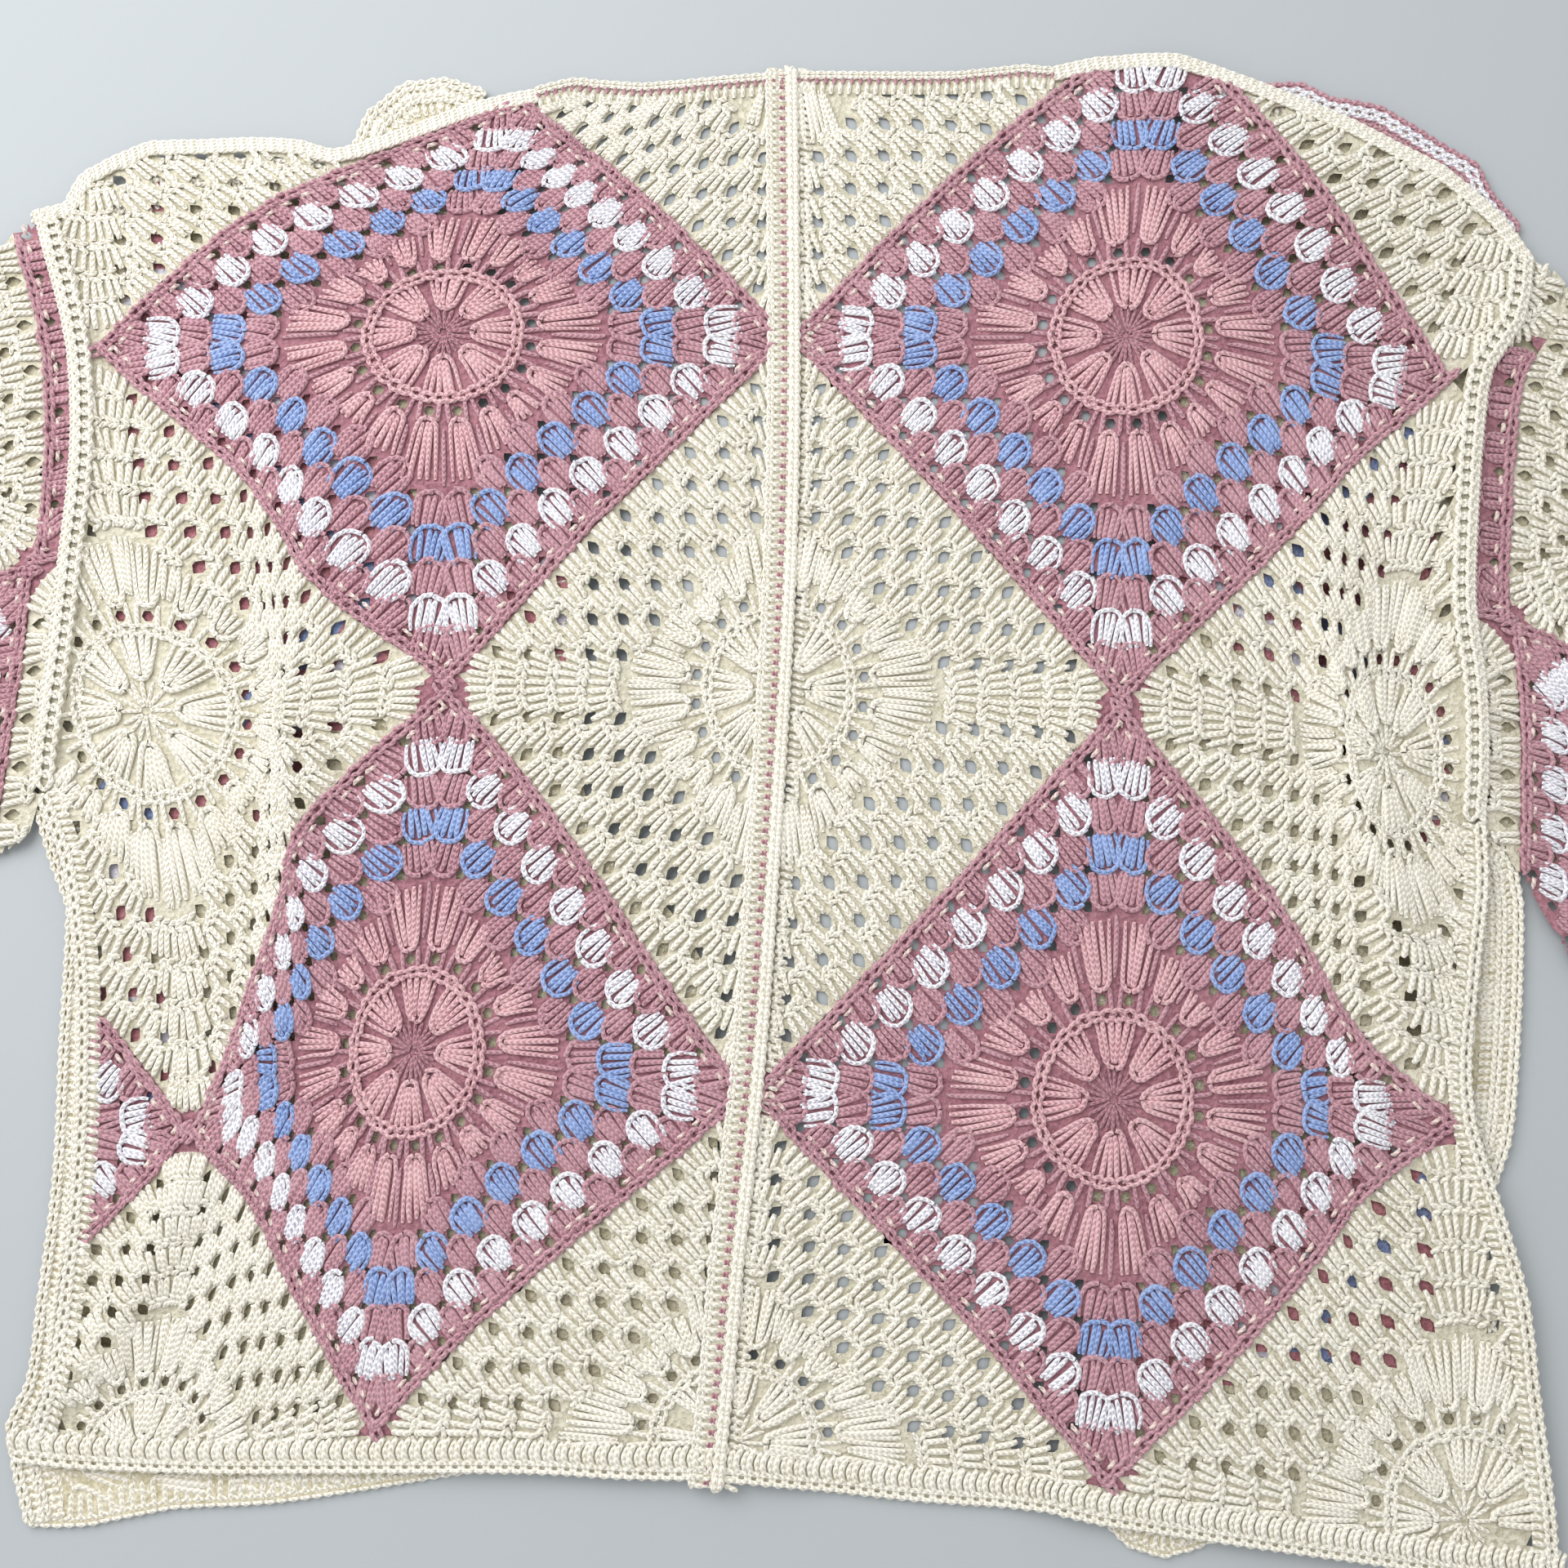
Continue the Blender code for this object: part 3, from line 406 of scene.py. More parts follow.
def yarn_material(name, body, groove, tip, on_tube):
    """Cotton yarn: body colour, colour of the painted shade in the grooves, colour of the fuzzy
    tips.
    """
    material = bpy.data.materials.new(name)
    material.use_nodes = True
    tree = material.node_tree
    tree.nodes.clear()
    place = add(tree, "TexCoord")
    at = place.outputs["Object"]
    dye = add(tree, "TexNoise", {"Vector": at, "Scale": 90.0, "Detail": 3.0, "Roughness": 0.6})
    fuzz = add(tree, "TexNoise", {"Vector": at, "Scale": 1100.0, "Detail": 2.0, "Roughness": 0.7})
    if on_tube:
        split = add(tree, "SeparateXYZ", {"Vector": place.outputs["UV"]})
        off_top = add(tree, "Math", {0: split.outputs["X"], 1: 0.25}, operation="SUBTRACT")
        turned = add(tree, "Math", {0: off_top}, operation="ABSOLUTE")
        slant = add(tree, "Math", {0: turned, 1: 4.0}, operation="MULTIPLY")
        phase = add(tree, "Math", {0: split.outputs["Y"], 1: 1.0 / LOOP_MM, 2: slant},
                    operation="MULTIPLY_ADD")
        whole = add(tree, "Math", {0: phase, 1: 2 * math.pi}, operation="MULTIPLY")
        wave = add(tree, "Math", {0: whole}, operation="SINE")
        wave = add(tree, "MapRange", {"Value": wave, "From Min": -1.0, "From Max": 0.4})
        off_line = add(tree, "MapRange", {"Value": turned, "From Max": 0.11})
        dots = add(tree, "Math", {0: off_line, 1: wave}, operation="MAXIMUM")
        shade = add(tree, "MapRange", {"Value": wave, "To Min": 0.55})
        loops = add(tree, "Math", {0: dots, 1: shade}, operation="MULTIPLY")
    else:
        wave = add(tree, "TexNoise", {"Vector": at, "Scale": 520.0, "Detail": 2.0})
        loops = add(tree, "MapRange", {"Value": wave, "From Min": 0.35, "From Max": 0.62})
    uneven = add(tree, "Math", {0: dye, 1: 1.3, 2: -0.35}, operation="MULTIPLY_ADD")
    # Painted shade: the groove colour darkens the dark dots and the low places between the loops on
    # a tube, and the low places of the noise on the ground.
    groove_shade_mix = add(tree, "Mix", {"Factor": loops, 6: linear(groove), 7: linear(body)},
                  data_type="RGBA")
    tipped = add(tree, "Mix", {"Factor": uneven, 6: groove_shade_mix.outputs[2], 7: linear(tip)},
                 data_type="RGBA")
    height = add(tree, "Math", {0: fuzz, 1: 0.5, 2: loops}, operation="MULTIPLY_ADD")
    bump = add(tree, "Bump", {"Height": height, "Strength": 0.75, "Distance": 0.0007})
    rough = add(tree, "MapRange", {"Value": fuzz, "To Min": 0.82, "To Max": 0.98})
    shader = add(tree, "BsdfPrincipled",
                 {"Base Color": tipped.outputs[2], "Roughness": rough, "Normal": bump,
                  "IOR": 1.53, "Specular IOR Level": 0.25, "Sheen Weight": 0.25,
                  "Sheen Roughness": 0.5})
    add(tree, "OutputMaterial", {"Surface": shader})
    return material


# %% Yarns of the cardigan
YARN = {key: yarn_material("cotton_" + name, body, groove, tip, name.startswith("yarn"))
        for key, name, body, groove, tip in (
            ("cream", "yarn_cream", "#F9F4E6", "#CFC7AF", "#FDFAF0"),
            ("rose", "yarn_dusty_rose", "#C6949F", "#8F606E", "#D8ADB5"),
            ("deep", "yarn_deep_rose", "#B6818C", "#7C4D5A", "#C4929B"),
            ("pink", "yarn_light_pink", "#E1B3B8", "#AA727D", "#EEC9CB"),
            ("blue", "yarn_blue", "#96AFE0", "#5873AF", "#B2C6EF"),
            ("white", "yarn_white", "#FBFAFF", "#A9A2BA", "#FFFFFF"),
            # Ground yarns: darker copies of the yarns on top, painted shade between the posts.
            ("cream_ground_shaded", "ground_cream_shaded", "#D9D3BF", "#B0AA90", "#E3DECD"),
            ("rose_ground_shaded", "ground_rose_shaded", "#A97580", "#7C4E5A", "#B5838C"),
            ("fleck", "yarn_pale_pink", "#F0DAD2", "#C79C99", "#F8E8E0"),
            # Inner yarns of the layer underneath: darker copies of the yarns on top, painted shade
            # under the back.
            ("rose_under_shaded", "inner_rose_shaded", "#C08087", "#92525B", "#C98D92"),
            ("blue_under_shaded", "inner_blue_shaded", "#8F9DC4", "#66749E", "#9AA8CC"),
            ("cream_under_shaded", "inner_cream_shaded", "#D8CFB4", "#ACA17E", "#E0D8C0"),
            # A darker copy of the white yarn, used by the layer underneath: painted shade under the
            # back.
            ("white_ground_shaded", "ground_white_shaded", "#E2DFE8", "#AFA9BA", "#ECE9F0"))}
print("yarns:", ", ".join(YARN))

# %% [markdown]
# ## Posts of yarn
# A post is a short tube along a path. Blender could make each as a curve with a bevel, but tens
# of thousands of curve objects are slow. Here all posts of a piece are one mesh: the rings of
# points round every path are worked out together in numpy and handed to the mesh in one go.

# %% Tubes
def tube_parts(paths, radii, sides):
    """Points, faces and UVs of tubes along many paths at once. Paths are n x m x 3 in mm."""
    count, steps, _ = paths.shape
    run = np.gradient(paths, axis=1)
    run /= np.linalg.norm(run, axis=2)[..., None] + 1e-9
    side = np.cross(run, (0.0, 0.0, 1.0))
    side /= np.linalg.norm(side, axis=2)[..., None] + 1e-9
    lift = np.cross(side, run)
    turn = np.arange(sides) / sides * 2 * np.pi
    ring = (side[:, :, None] * np.cos(turn)[None, None, :, None]
            + lift[:, :, None] * np.sin(turn)[None, None, :, None])
    points = paths[:, :, None] + radii[:, :, None, None] * ring
    number = np.arange(count * steps * sides).reshape(count, steps, sides)
    a, b = number[:, :-1], number[:, 1:]
    faces = np.stack((a, np.roll(a, -1, axis=2), np.roll(b, -1, axis=2), b), axis=-1)
    way = np.concatenate((np.zeros((count, 1)), np.cumsum(
        np.linalg.norm(np.diff(paths, axis=1), axis=2), axis=1)), axis=1)
    u0 = np.broadcast_to((np.arange(sides) / sides)[None, None], faces.shape[:3])
    v0 = np.broadcast_to(way[:, :-1, None], faces.shape[:3])
    v1 = np.broadcast_to(way[:, 1:, None], faces.shape[:3])
    u1 = u0 + 1.0 / sides
    uv = np.stack((np.stack((u0, v0), -1), np.stack((u1, v0), -1), np.stack((u1, v1), -1),
                   np.stack((u0, v1), -1)), axis=-2)
    return points.reshape(-1, 3), faces.reshape(-1, 4), uv.reshape(-1, 2)


# %% One mesh for a piece
def mesh_piece(name, points, faces, materials, face_material, uv=None):
    """One object from arrays, in metres in the row frame."""
    points = (np.asarray(points) - (CENTRE_X, CENTRE_Y, 0.0)) * MM
    corners = faces.shape[1]
    mesh = bpy.data.meshes.new(name)
    mesh.vertices.add(len(points))
    mesh.vertices.foreach_set("co", points.astype(np.float32).ravel())
    mesh.loops.add(faces.size)
    mesh.loops.foreach_set("vertex_index", faces.astype(np.int32).ravel())
    mesh.polygons.add(len(faces))
    mesh.polygons.foreach_set("loop_start", np.arange(0, faces.size, corners, dtype=np.int32))
    for key in materials:
        mesh.materials.append(YARN[key])
    mesh.polygons.foreach_set("material_index", np.asarray(face_material, dtype=np.int32))
    mesh.polygons.foreach_set("use_smooth", np.ones(len(faces), dtype=bool))
    if uv is not None:
        layer = mesh.uv_layers.new(name="along_the_yarn")
        layer.data.foreach_set("uv", uv.astype(np.float32).ravel())
    mesh.update(calc_edges=True)
    mesh.validate()
    obj = bpy.data.objects.new(name, mesh)
    bpy.context.scene.collection.objects.link(obj)
    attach(obj, "root")
    return obj


# %% One piece of many posts
triangle_count = {}      # of each piece


def stitched_piece(name, groups):
    """One object from groups of posts: (yarn, paths, radii, sides)."""
    groups = [g for g in groups if len(g[1])]
    keys = sorted({g[0] for g in groups})
    points, faces, uvs, index = [], [], [], []
    start = 0
    for key, paths, radii, sides in groups:
        p, f, uv = tube_parts(paths, radii, sides)
        points.append(p)
        faces.append(f + start)
        uvs.append(uv)
        index.append(np.full(len(f), keys.index(key)))
        start += len(p)
    obj = mesh_piece(name, np.vstack(points), np.vstack(faces), keys, np.concatenate(index),
                     np.vstack(uvs))
    triangle_count[name] = 2 * sum(len(f) for f in faces)
    return obj


# %% [markdown]
# ## The stitch plan of a square
# The chart is drawn in millimetres from the centre of a square whose points are 137 mm away.
# A flower of eight petals sits in a chain ring, twenty longer petals reach from it to the rounds,
# and then come five rounds of clusters. Each cluster is worked into one gap of the round before,
# and at the corners two stand side by side. A petal or a rose cluster is a fan: two outer posts
# that meet in a dome at the inner end, and three or four posts between them. A cream cluster
# shows four posts and, inside them, two rows of slanted knots. The rose square changes yarn from
# round to round and ends in a chain with pale flecks beside it.

# %% Measures of the plan
FLOWER_PETALS, PETALS, RING_LINKS = 8, 20, 40
RING_AT, RING_GAPS_AT = 29.4, 34.6             # the chain ring and the gaps outside it
ROUND_AT = (56.0, 65.0, 74.0, 83.0, 91.0)      # middle of each round from the centre
ROUND_SINGLES = (4, 5, 6, 7, 8)                # clusters on a side besides the corner pairs
ROUND_YARN = ("rose", "blue", "rose", "white", "rose")
CORNER_IN = 8.3                                # a corner cluster's place before the corner
CORNER_TURN = 33                               # how far a corner cluster leans, in degrees
CLUSTER_OUT, LAST_ROW = 5.2, 96.0              # reach of a cluster outward, and of all of them
EDGE_AT, FLECKS_AT = 94.9, 91.6                # the edge chain and the flecks beside it
EDGE_LINKS, EDGE_PITCH = 43, 4.55
LINKS_FROM = 500                               # first number of the links among the clusters
STEPS = 6                                      # points along a post
# Points that stay in the mesh, by form: short strand, straight post, link, half of a dome
KEPT = {-2: [0, 2, 5], -1: [0, 1, 4, 5], 0: [0, 1, 2, 3, 4, 5], 1: [0, 1, 2, 3, 4, 5]}


# %% Directions and reach in the plan
def side_axes(side):
    turn = math.radians(45 + 90 * side)
    return np.array((math.cos(turn), math.sin(turn))), np.array((-math.sin(turn), math.cos(turn)))


def petal_end(turn):
    """Reach of a long petal: the longest point to the corners of the square."""
    off_axis = abs((turn + 45) % 90 - 45)       # degrees from the nearest corner
    return 61.5 if off_axis < 18 else (53.5 if off_axis < 36 else 49.0)


# %% Posts of a square
def chart(kind):
    """Posts of a square: (yarn, path, radius at ends and middle, lift, form, cluster)."""
    rose = kind == "rose"
    rows = []
    cluster = 0

    def post(yarn, spots, out, ends, middle, lift, form=-1, start=0.0):
        way = np.array((-out[1], out[0]))
        spots = np.array(spots)
        t = np.linspace(0, len(spots) - 1, STEPS)
        n, a = (np.interp(t, np.arange(len(spots)), spots[:, k]) for k in (0, 1))
        rows.append((yarn, start + out * n[:, None] + way * a[:, None], ends, middle, lift,
                     form, cluster))

    def fan(yarn, sides, inner, out, radius, lift, start=0.0):
        """A rounded group of posts: two outer ones that meet in a dome and some inner ones."""
        for hand in (-1, 1):
            post(yarn, [(n, hand * a) for n, a in sides], out, 0.7, radius, lift, 1, start)
        for first, last in inner:
            post(yarn, (first, last), out, 0.85, radius + 0.18, lift, -1, start)

    def ray(turn):
        turn = math.radians(turn)
        return np.array((math.cos(turn), math.sin(turn)))

    for k in range(24 if rose else 16):
        post("deep" if rose else "cream", ((1.9, 0), (11.5, 0)), ray((15 if rose else 22.5) * k),
             0.5, 0.85 if rose else 1.0, 0.3)
    for k in range(FLOWER_PETALS):
        cluster += 1
        fan("pink" if rose else "cream",
            ((28.8, 8.2), (22.0, 6.3), (16.5, 4.6), (13.4, 3.5), (11.6, 2.0), (11.0, 0)),
            [((28.8, 5.0 * f), (13.0, 1.9 * f)) for f in (-1, -0.33, 0.33, 1)], ray(45 * k),
            1.15 if rose else 1.25, 0.8)
    for k in range(PETALS):
        for hand in (-1, 1):
            post("rose" if rose else "cream", ((30.0, 1.2 * hand), (39.0, 2.4 * hand)),
                 ray(18 * k), 0.8, 1.05, 0.4)
        turn = 18 * k + 9
        cluster += 1
        end = petal_end(turn)
        fan("pink" if rose else "cream",
            ((end, 6.0), ((end + 44) / 2, 4.9), (44.0, 3.9), (40.6, 3.3), (38.6, 2.0), (37.9, 0)),
            [((end, 3.0 * f), (39.6, 1.5 * f)) for f in (-1, 0, 1)], ray(turn),
            1.1 if rose else 1.25, 0.9)
        for f in (0,) if rose else (-1, 0, 1):
            post("rose" if rose else "cream", ((42.0, 0.9 * f), (end + 2.0, 2.4 * f)),
                 ray(turn + 9), 0.6, 1.2, 0.2 if rose else 0.5)
    for at, singles, yarn in zip(ROUND_AT, ROUND_SINGLES, ROUND_YARN):
        proud = 1.0 if yarn in ("blue", "white") else 0.5
        reach = at - CORNER_IN
        top = min(CLUSTER_OUT, LAST_ROW - at)
        for side, m in [(side, m) for side in range(4) for m in range(singles + 2)]:
            out, way = side_axes(side)
            cluster += 1
            start = out * at + way * (-reach + 2 * reach * m / (singles + 1))
            out = ray(45 + 90 * side + {0: -CORNER_TURN, singles + 1: CORNER_TURN}.get(m, 0))
            if rose:
                wide = 1.05 if proud > 0.9 else 0.95
                fan(yarn, [(n, w * wide) for n, w in
                           ((top, 4.7), (1.4, 5.7), (-2.6, 5.9), (-5.6, 5.0), (-7.4, 3.1),
                            (-8.2, 0))],
                    [((top, 3.0 * f), (-6.9 + 1.3 * abs(f), 3.9 * f))
                     for f in (-1, -0.33, 0.33, 1)], out, 1.05 if proud > 0.9 else 1.12, proud,
                    start)
                continue
            for f in (-1, -0.33, 0.33, 1):
                post("cream", ((-3.0, 4.0 * f), (top + 0.4, 5.3 * f)), out, 0.95, 1.3, 0.8, -1,
                     start)
            for n, lean in ((-3.4, 1.8), (-5.6, -1.8)):
                for a in (-3.2, 0, 3.2):
                    post("cream", ((n - 1.1, a - lean), (n + 1.1, a + lean)), out, 0.85, 1.2, 0.9,
                         -2, start)
    return rows


# %% [markdown]
# ## Links and flecks of a square
# The ring round the flower and the edge of a rose square are chains: each link is two short bent
# strands that start inside the link before. Pale flecks of yarn lie beside the edge chain.

# %% Links and flecks
def chart_links(kind):
    """Links of the chain ring and of the edge, and the pale flecks beside it."""
    rows = []
    t = np.linspace(0, 1, STEPS)
    rose = kind == "rose"
    for k in range(RING_LINKS):
        for hand in (-1, 1):
            a = np.radians(360 / RING_LINKS * (k + 1.5 * t))
            r = RING_AT + hand * 1.8 * np.sin(np.pi * t)
            rows.append(("pink" if rose else "cream",
                         np.column_stack((r * np.cos(a), r * np.sin(a))), 0.6, 1.0,
                         1.3 if rose else 0.3, 0, LINKS_FROM + k))
    for side in range(4 if rose else 0):
        out, way = side_axes(side)
        first = LINKS_FROM + 100 * (side + 1)
        for k in range(EDGE_LINKS):
            for hand in (-1, 1):
                a = -97.0 + EDGE_PITCH * (k + 1.45 * t)
                n = EDGE_AT + hand * 1.5 * np.sin(np.pi * t)
                rows.append(("rose", out * n[:, None] + way * a[:, None], 0.7, 1.0, 1.2, 0,
                             first + k))
        for k in range(27):
            a = -92.0 + 7.08 * k + 4.0 * t + 1.5 * math.sin(5.0 * k)
            if (k * 5 + side) % 4:
                rows.append(("fleck", out * FLECKS_AT + way * a[:, None], 0.5, 1.0, 1.5, -1,
                             first + 50 + k))
    return rows


# %% [markdown]
# ## Gaps of a square
# A gap stays open wherever a cluster is worked into the round below. Each is drawn as a small
# outline of six corners, and the plan is then kept as arrays, for all squares of its kind.

# %% Gaps
def chart_gaps(kind):
    """Gaps of a square as small outlines of six corners."""
    tall, wide = (2.6, 2.0) if kind == "rose" else (3.5, 2.3)
    gaps = []
    for k in range(PETALS):
        turn = math.radians(18 * k + 9)
        middle = RING_GAPS_AT * np.array((math.cos(turn), math.sin(turn)))
        angle = np.linspace(0, 2 * np.pi, 7)[:-1]
        gaps.append(middle + np.column_stack((np.cos(angle), np.sin(angle))) * 2.2)
    for at, singles in zip(ROUND_AT, ROUND_SINGLES):
        reach = at - CORNER_IN
        pitch = 2 * reach / (singles + 1)
        for side in range(4):
            out, way = side_axes(side)
            for m in range(singles + 1):
                a = -reach + pitch * (m + 0.5)
                n = at - 1.0 if at < 90 else at + 0.6
                gaps.append(np.array([out * (n + dn * tall) + way * (a + da * wide) for dn, da in
                                      ((-1, 0), (-0.3, 0.9), (0.2, 0.9), (1, 0), (0.2, -0.9),
                                       (-0.3, -0.9))]))
    return gaps


# %% Keep the plans
CHART = {}
for kind in ("rose", "cream"):
    rows = chart(kind) + chart_links(kind)
    CHART[kind] = {key: np.array([row[k] for row in rows]) for k, key in enumerate(
        ("yarn", "path", "ends", "middle", "lift", "form", "cluster"))}
    print("posts in a", kind, "square:", len(rows))

# %% [markdown]
# ## The ground of a square
# Between the posts the real cloth is closed by the legs and loops of the stitches. One thin sheet
# with the gaps cut out stands for them. A triangulation with fixed edges (Blender's
# delaunay_2d_cdt) keeps every gap's outline exactly, and the sheet is made once for the chart and
# then carried to each square.

# %% Net of the ground with its gaps
GROUND_STEP = 6.5


def spots_between(low, high, across, up):
    """A net of points, every other row shifted by half a step."""
    return np.array([(x + (across / 2 if k % 2 else 0), y)
                     for k, y in enumerate(np.arange(low[1], high[1], up))
                     for x in np.arange(low[0], high[0], across)])


def triangulate(loops, spots):
    """Triangles between the points of loops and spots, with the edges of the loops kept."""
    edges, start = [], 0
    for loop in loops:
        edges += [(start + k, start + (k + 1) % len(loop)) for k in range(len(loop))]
        start += len(loop)
    points, _edges, faces, *_rest = delaunay_2d_cdt(
        [Vector(p) for p in np.vstack(loops + [spots])], edges, [], 0, 1e-4)
    return (np.array([tuple(p) for p in points]),
            np.array([list(f) for f in faces if len(f) == 3]))


def ground_net(gaps, reach):
    """Points and triangles of a square of cloth with its gaps left out."""
    steps = int(round(reach * math.sqrt(2) / GROUND_STEP))
    corners = np.array(((1, 0), (0, 1), (-1, 0), (0, -1), (1, 0))) * reach
    outline = np.vstack([a + (b - a) * np.arange(steps)[:, None] / steps
                         for a, b in zip(corners, corners[1:])])
    inner = spots_between((-reach, -reach), (reach, reach), GROUND_STEP, GROUND_STEP)
    inner = inner[np.abs(inner).sum(axis=1) < reach - 2.5]
    for gap in gaps:
        inner = inner[~inside(inner, gap.mean(axis=0) + (gap - gap.mean(axis=0)) * 1.3)]
    points, faces = triangulate([outline] + gaps, inner)
    middle = points[faces].mean(axis=1)
    keep = np.abs(middle).sum(axis=1) < reach
    for gap in gaps:
        mine = close_to(middle, gap)
        keep[mine] &= ~inside(middle[mine], gap)
    return points, faces[keep]


GROUND = {kind: ground_net(chart_gaps(kind), UNIT) for kind in CHART}
for kind, (net_at, net_faces) in GROUND.items():
    print("ground of a", kind, "square:", len(net_faces), "triangles,", len(chart_gaps(kind)),
          "gaps")

# %% [markdown]
# ## Squares of the back
# Each square takes the chart of its kind, is carried to its place, and is clipped at the outline
# of the back and along the borders that lie on it. Its ground replaces the plain CAD solid, which
# is hidden.

# %% Outline of the back and its borders
def back_outline(shoulder, neck, hem):
    """Outline of the back, each edge that far inside its border's outer line."""
    return np.vstack((
        offset_line(smooth_line(SHOULDER_LEFT), -shoulder)[1:-1],
        offset_line(smooth_line(NECK), -neck),
        offset_line(smooth_line(SHOULDER_RIGHT), -shoulder)[1:-1],
        smooth_line(ARM_RIGHT), smooth_line(SIDE_RIGHT)[:-1],
        offset_line(smooth_line(HEM), hem)[1:-1][::-1],
        smooth_line(SIDE_LEFT)[:-1][::-1], smooth_line(ARM_LEFT)[::-1]))


BACK_OUTLINE = back_outline(SHOULDER_BAND / 2, NECK_BAND / 2, RIB / 2)
ENDS_OUTLINE = back_outline(1.0, 4.0, 5.0)      # as far as the ends of posts may go under a border
CENTRE_LINE = smooth_line(CENTRE)
TRIM = 1.6               # posts this far under a border are still kept
BORDER_CUTS = [
    band_outline(CENTRE, -TRIM, CENTRE_BAND - TRIM), band_outline(NECK, -TRIM, NECK_BAND - TRIM),
    band_outline(HEM, RIB - TRIM, -TRIM),
    band_outline(SHOULDER_LEFT, -TRIM, SHOULDER_BAND - TRIM),
    band_outline(SHOULDER_RIGHT, -TRIM, SHOULDER_BAND - TRIM)]
BORDER_CUTS += [band_outline(line, width / 2 - TRIM, width / 2 - TRIM) for line, width in
                ((ARM_LEFT, ARM_BAND), (ARM_RIGHT, ARM_BAND), (SIDE_LEFT, SIDE_BAND),
                 (SIDE_RIGHT, SIDE_BAND))]
GROUND_LIFT = 0.9       # of the ground above the cloth's underside
POST_LIFT = 1.25        # of the ends of the posts
print("outline of the back:", len(BACK_OUTLINE), "points,", len(BORDER_CUTS), "border cuts")

# %% [markdown]
# ## From the flat plan to raised posts
# Crochet is never quite even. Every post gets a small shift, a small lift and its own thickness
# from a random generator with a fixed seed, so that each run gives the same cardigan.

# %% Raise the posts over the cloth
# Small unevenness of hand work, the same on every run: shift of a post, of its points, and up
HAND = np.random.default_rng(11)
POST_SHIFT, POINT_SHIFT, RISE_SHIFT = 0.28, 0.16, 0.14
THIN, THICK = 0.88, 1.1


def raised(plan, chart_part, height, sides):
    """Groups of tubes from flat paths, their radii and their lift over the cloth."""
    count, steps, _ = plan.shape
    t = np.linspace(0, 1, steps)
    arch = np.where(chart_part["form"][:, None] > 0, np.sin(np.pi / 2 * t) ** 0.6,
                    np.sin(np.pi * t).clip(0) ** 0.6)
    plan = plan + HAND.normal(0.0, POST_SHIFT, (count, 1, 2)) + HAND.normal(
        0.0, POINT_SHIFT, (count, steps, 2))
    z = height(plan) + POST_LIFT + chart_part["lift"][:, None] * arch
    z += HAND.normal(0.0, RISE_SHIFT, (count, 1))
    paths = np.concatenate((plan, z[..., None]), axis=2)
    ends, middle = chart_part["ends"][:, None], chart_part["middle"][:, None]
    radii = (ends + (middle - ends) * arch) * HAND.uniform(THIN, THICK, (count, 1))
    groups = []
    for key in np.unique(chart_part["yarn"]):
        for form, kept in KEPT.items():
            mine = (chart_part["yarn"] == key) & (chart_part["form"] == form)
            groups.append((key, paths[mine][:, kept], radii[mine][:, kept],
                           4 if form == -2 else sides))
    return groups


# %% Lay one square
TIP = 128.0              # past this the tips of the cream squares are worked in rose
LEAST_LEFT = {"rose": 0.35, "cream": 0.0}      # a cluster with less of it left is left out


def lay_square(kind, place, height, allowed, sides, row=-9, reach=None):
    """Ground and posts of one square; place carries chart mm to the cloth.

    A post stays where its middle is allowed and its ends lie within reach.
    """
    net_at, net_faces = GROUND[kind]
    ground = place(net_at)
    keep = allowed(ground[net_faces].mean(axis=1))
    spot = net_at[net_faces].mean(axis=1)
    rose = (np.abs(spot).max(axis=1) > TIP) & (spot[:, 1] / UNIT + row < 0.5) | (kind == "rose")
    posts = CHART[kind]
    plan = place(posts["path"].reshape(-1, 2)).reshape(posts["path"].shape)
    free = clear_of_borders(plan[:, STEPS // 2])
    free &= allowed(plan[:, STEPS // 2])
    for k in (0, STEPS - 1):
        free &= (reach or allowed)(plan[:, k])
    left = np.bincount(posts["cluster"], weights=free) / np.bincount(posts["cluster"]).clip(1)
    free &= left[posts["cluster"]] > LEAST_LEFT[kind]
    part = {key: value[free] for key, value in posts.items()}
    return ground, net_faces[keep], rose[keep].astype(int), raised(plan[free], part, height, sides)


def clear_of_borders(points):
    free = np.ones(len(points), dtype=bool)
    for cut in BORDER_CUTS:
        near = close_to(points, cut)
        if near.any():
            free[near] &= ~inside(points[near], cut)
    return free


# %% Ground of a piece
def ground_piece(name, points, faces, index, outline=None):
    """Ground of the upper layer; points past the outline, if any is given, are pulled onto it."""
    used, faces = np.unique(faces, return_inverse=True)
    points = points[used]
    if outline is not None:
        past = ~inside(points, outline)
        closed = np.vstack((outline, outline[:1]))
        points[past] = line_at(closed, from_line(points[past], closed)[2] / way_along(closed)[-1])
    rows = np.column_stack((points, upper_height(points) + GROUND_LIFT))
    triangle_count[name] = len(index)
    # The ground yarns are darker copies of the yarns on top: painted shade between the posts.
    return mesh_piece(name, rows, faces.reshape(-1, 3), ["cream_ground_shaded", "rose_ground_shaded"], index)


# %% [markdown]
# ## The cloth of each piece
# Each ground works out the size it was worked to and hides the CAD nodes whose place it takes.

# %% Size of a sheet of cloth, and hide its CAD nodes
LEAST_WIDE = 0.0101
LEAST_FULL, FULL = 0.301, 0.4        # least share of its rectangle that a sheet fills; the aim


def declare_cloth(obj, nodes, flat=None):
    """Work out how large the piece was worked, and hide its CAD nodes; flat gives the size of a
    band.
    """
    corners = np.array(obj.bound_box)
    size = flat or tuple(corners.max(axis=0) - corners.min(axis=0))[:2]
    area = sum(face.area for face in obj.data.polygons)
    long, wide = float(max(size)), float(min(size))
    flat = (max(min(wide, area / long / FULL), LEAST_WIDE), long)
    area = min(max(area, LEAST_FULL * flat[0] * flat[1]), flat[0] * flat[1])
    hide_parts(*nodes)


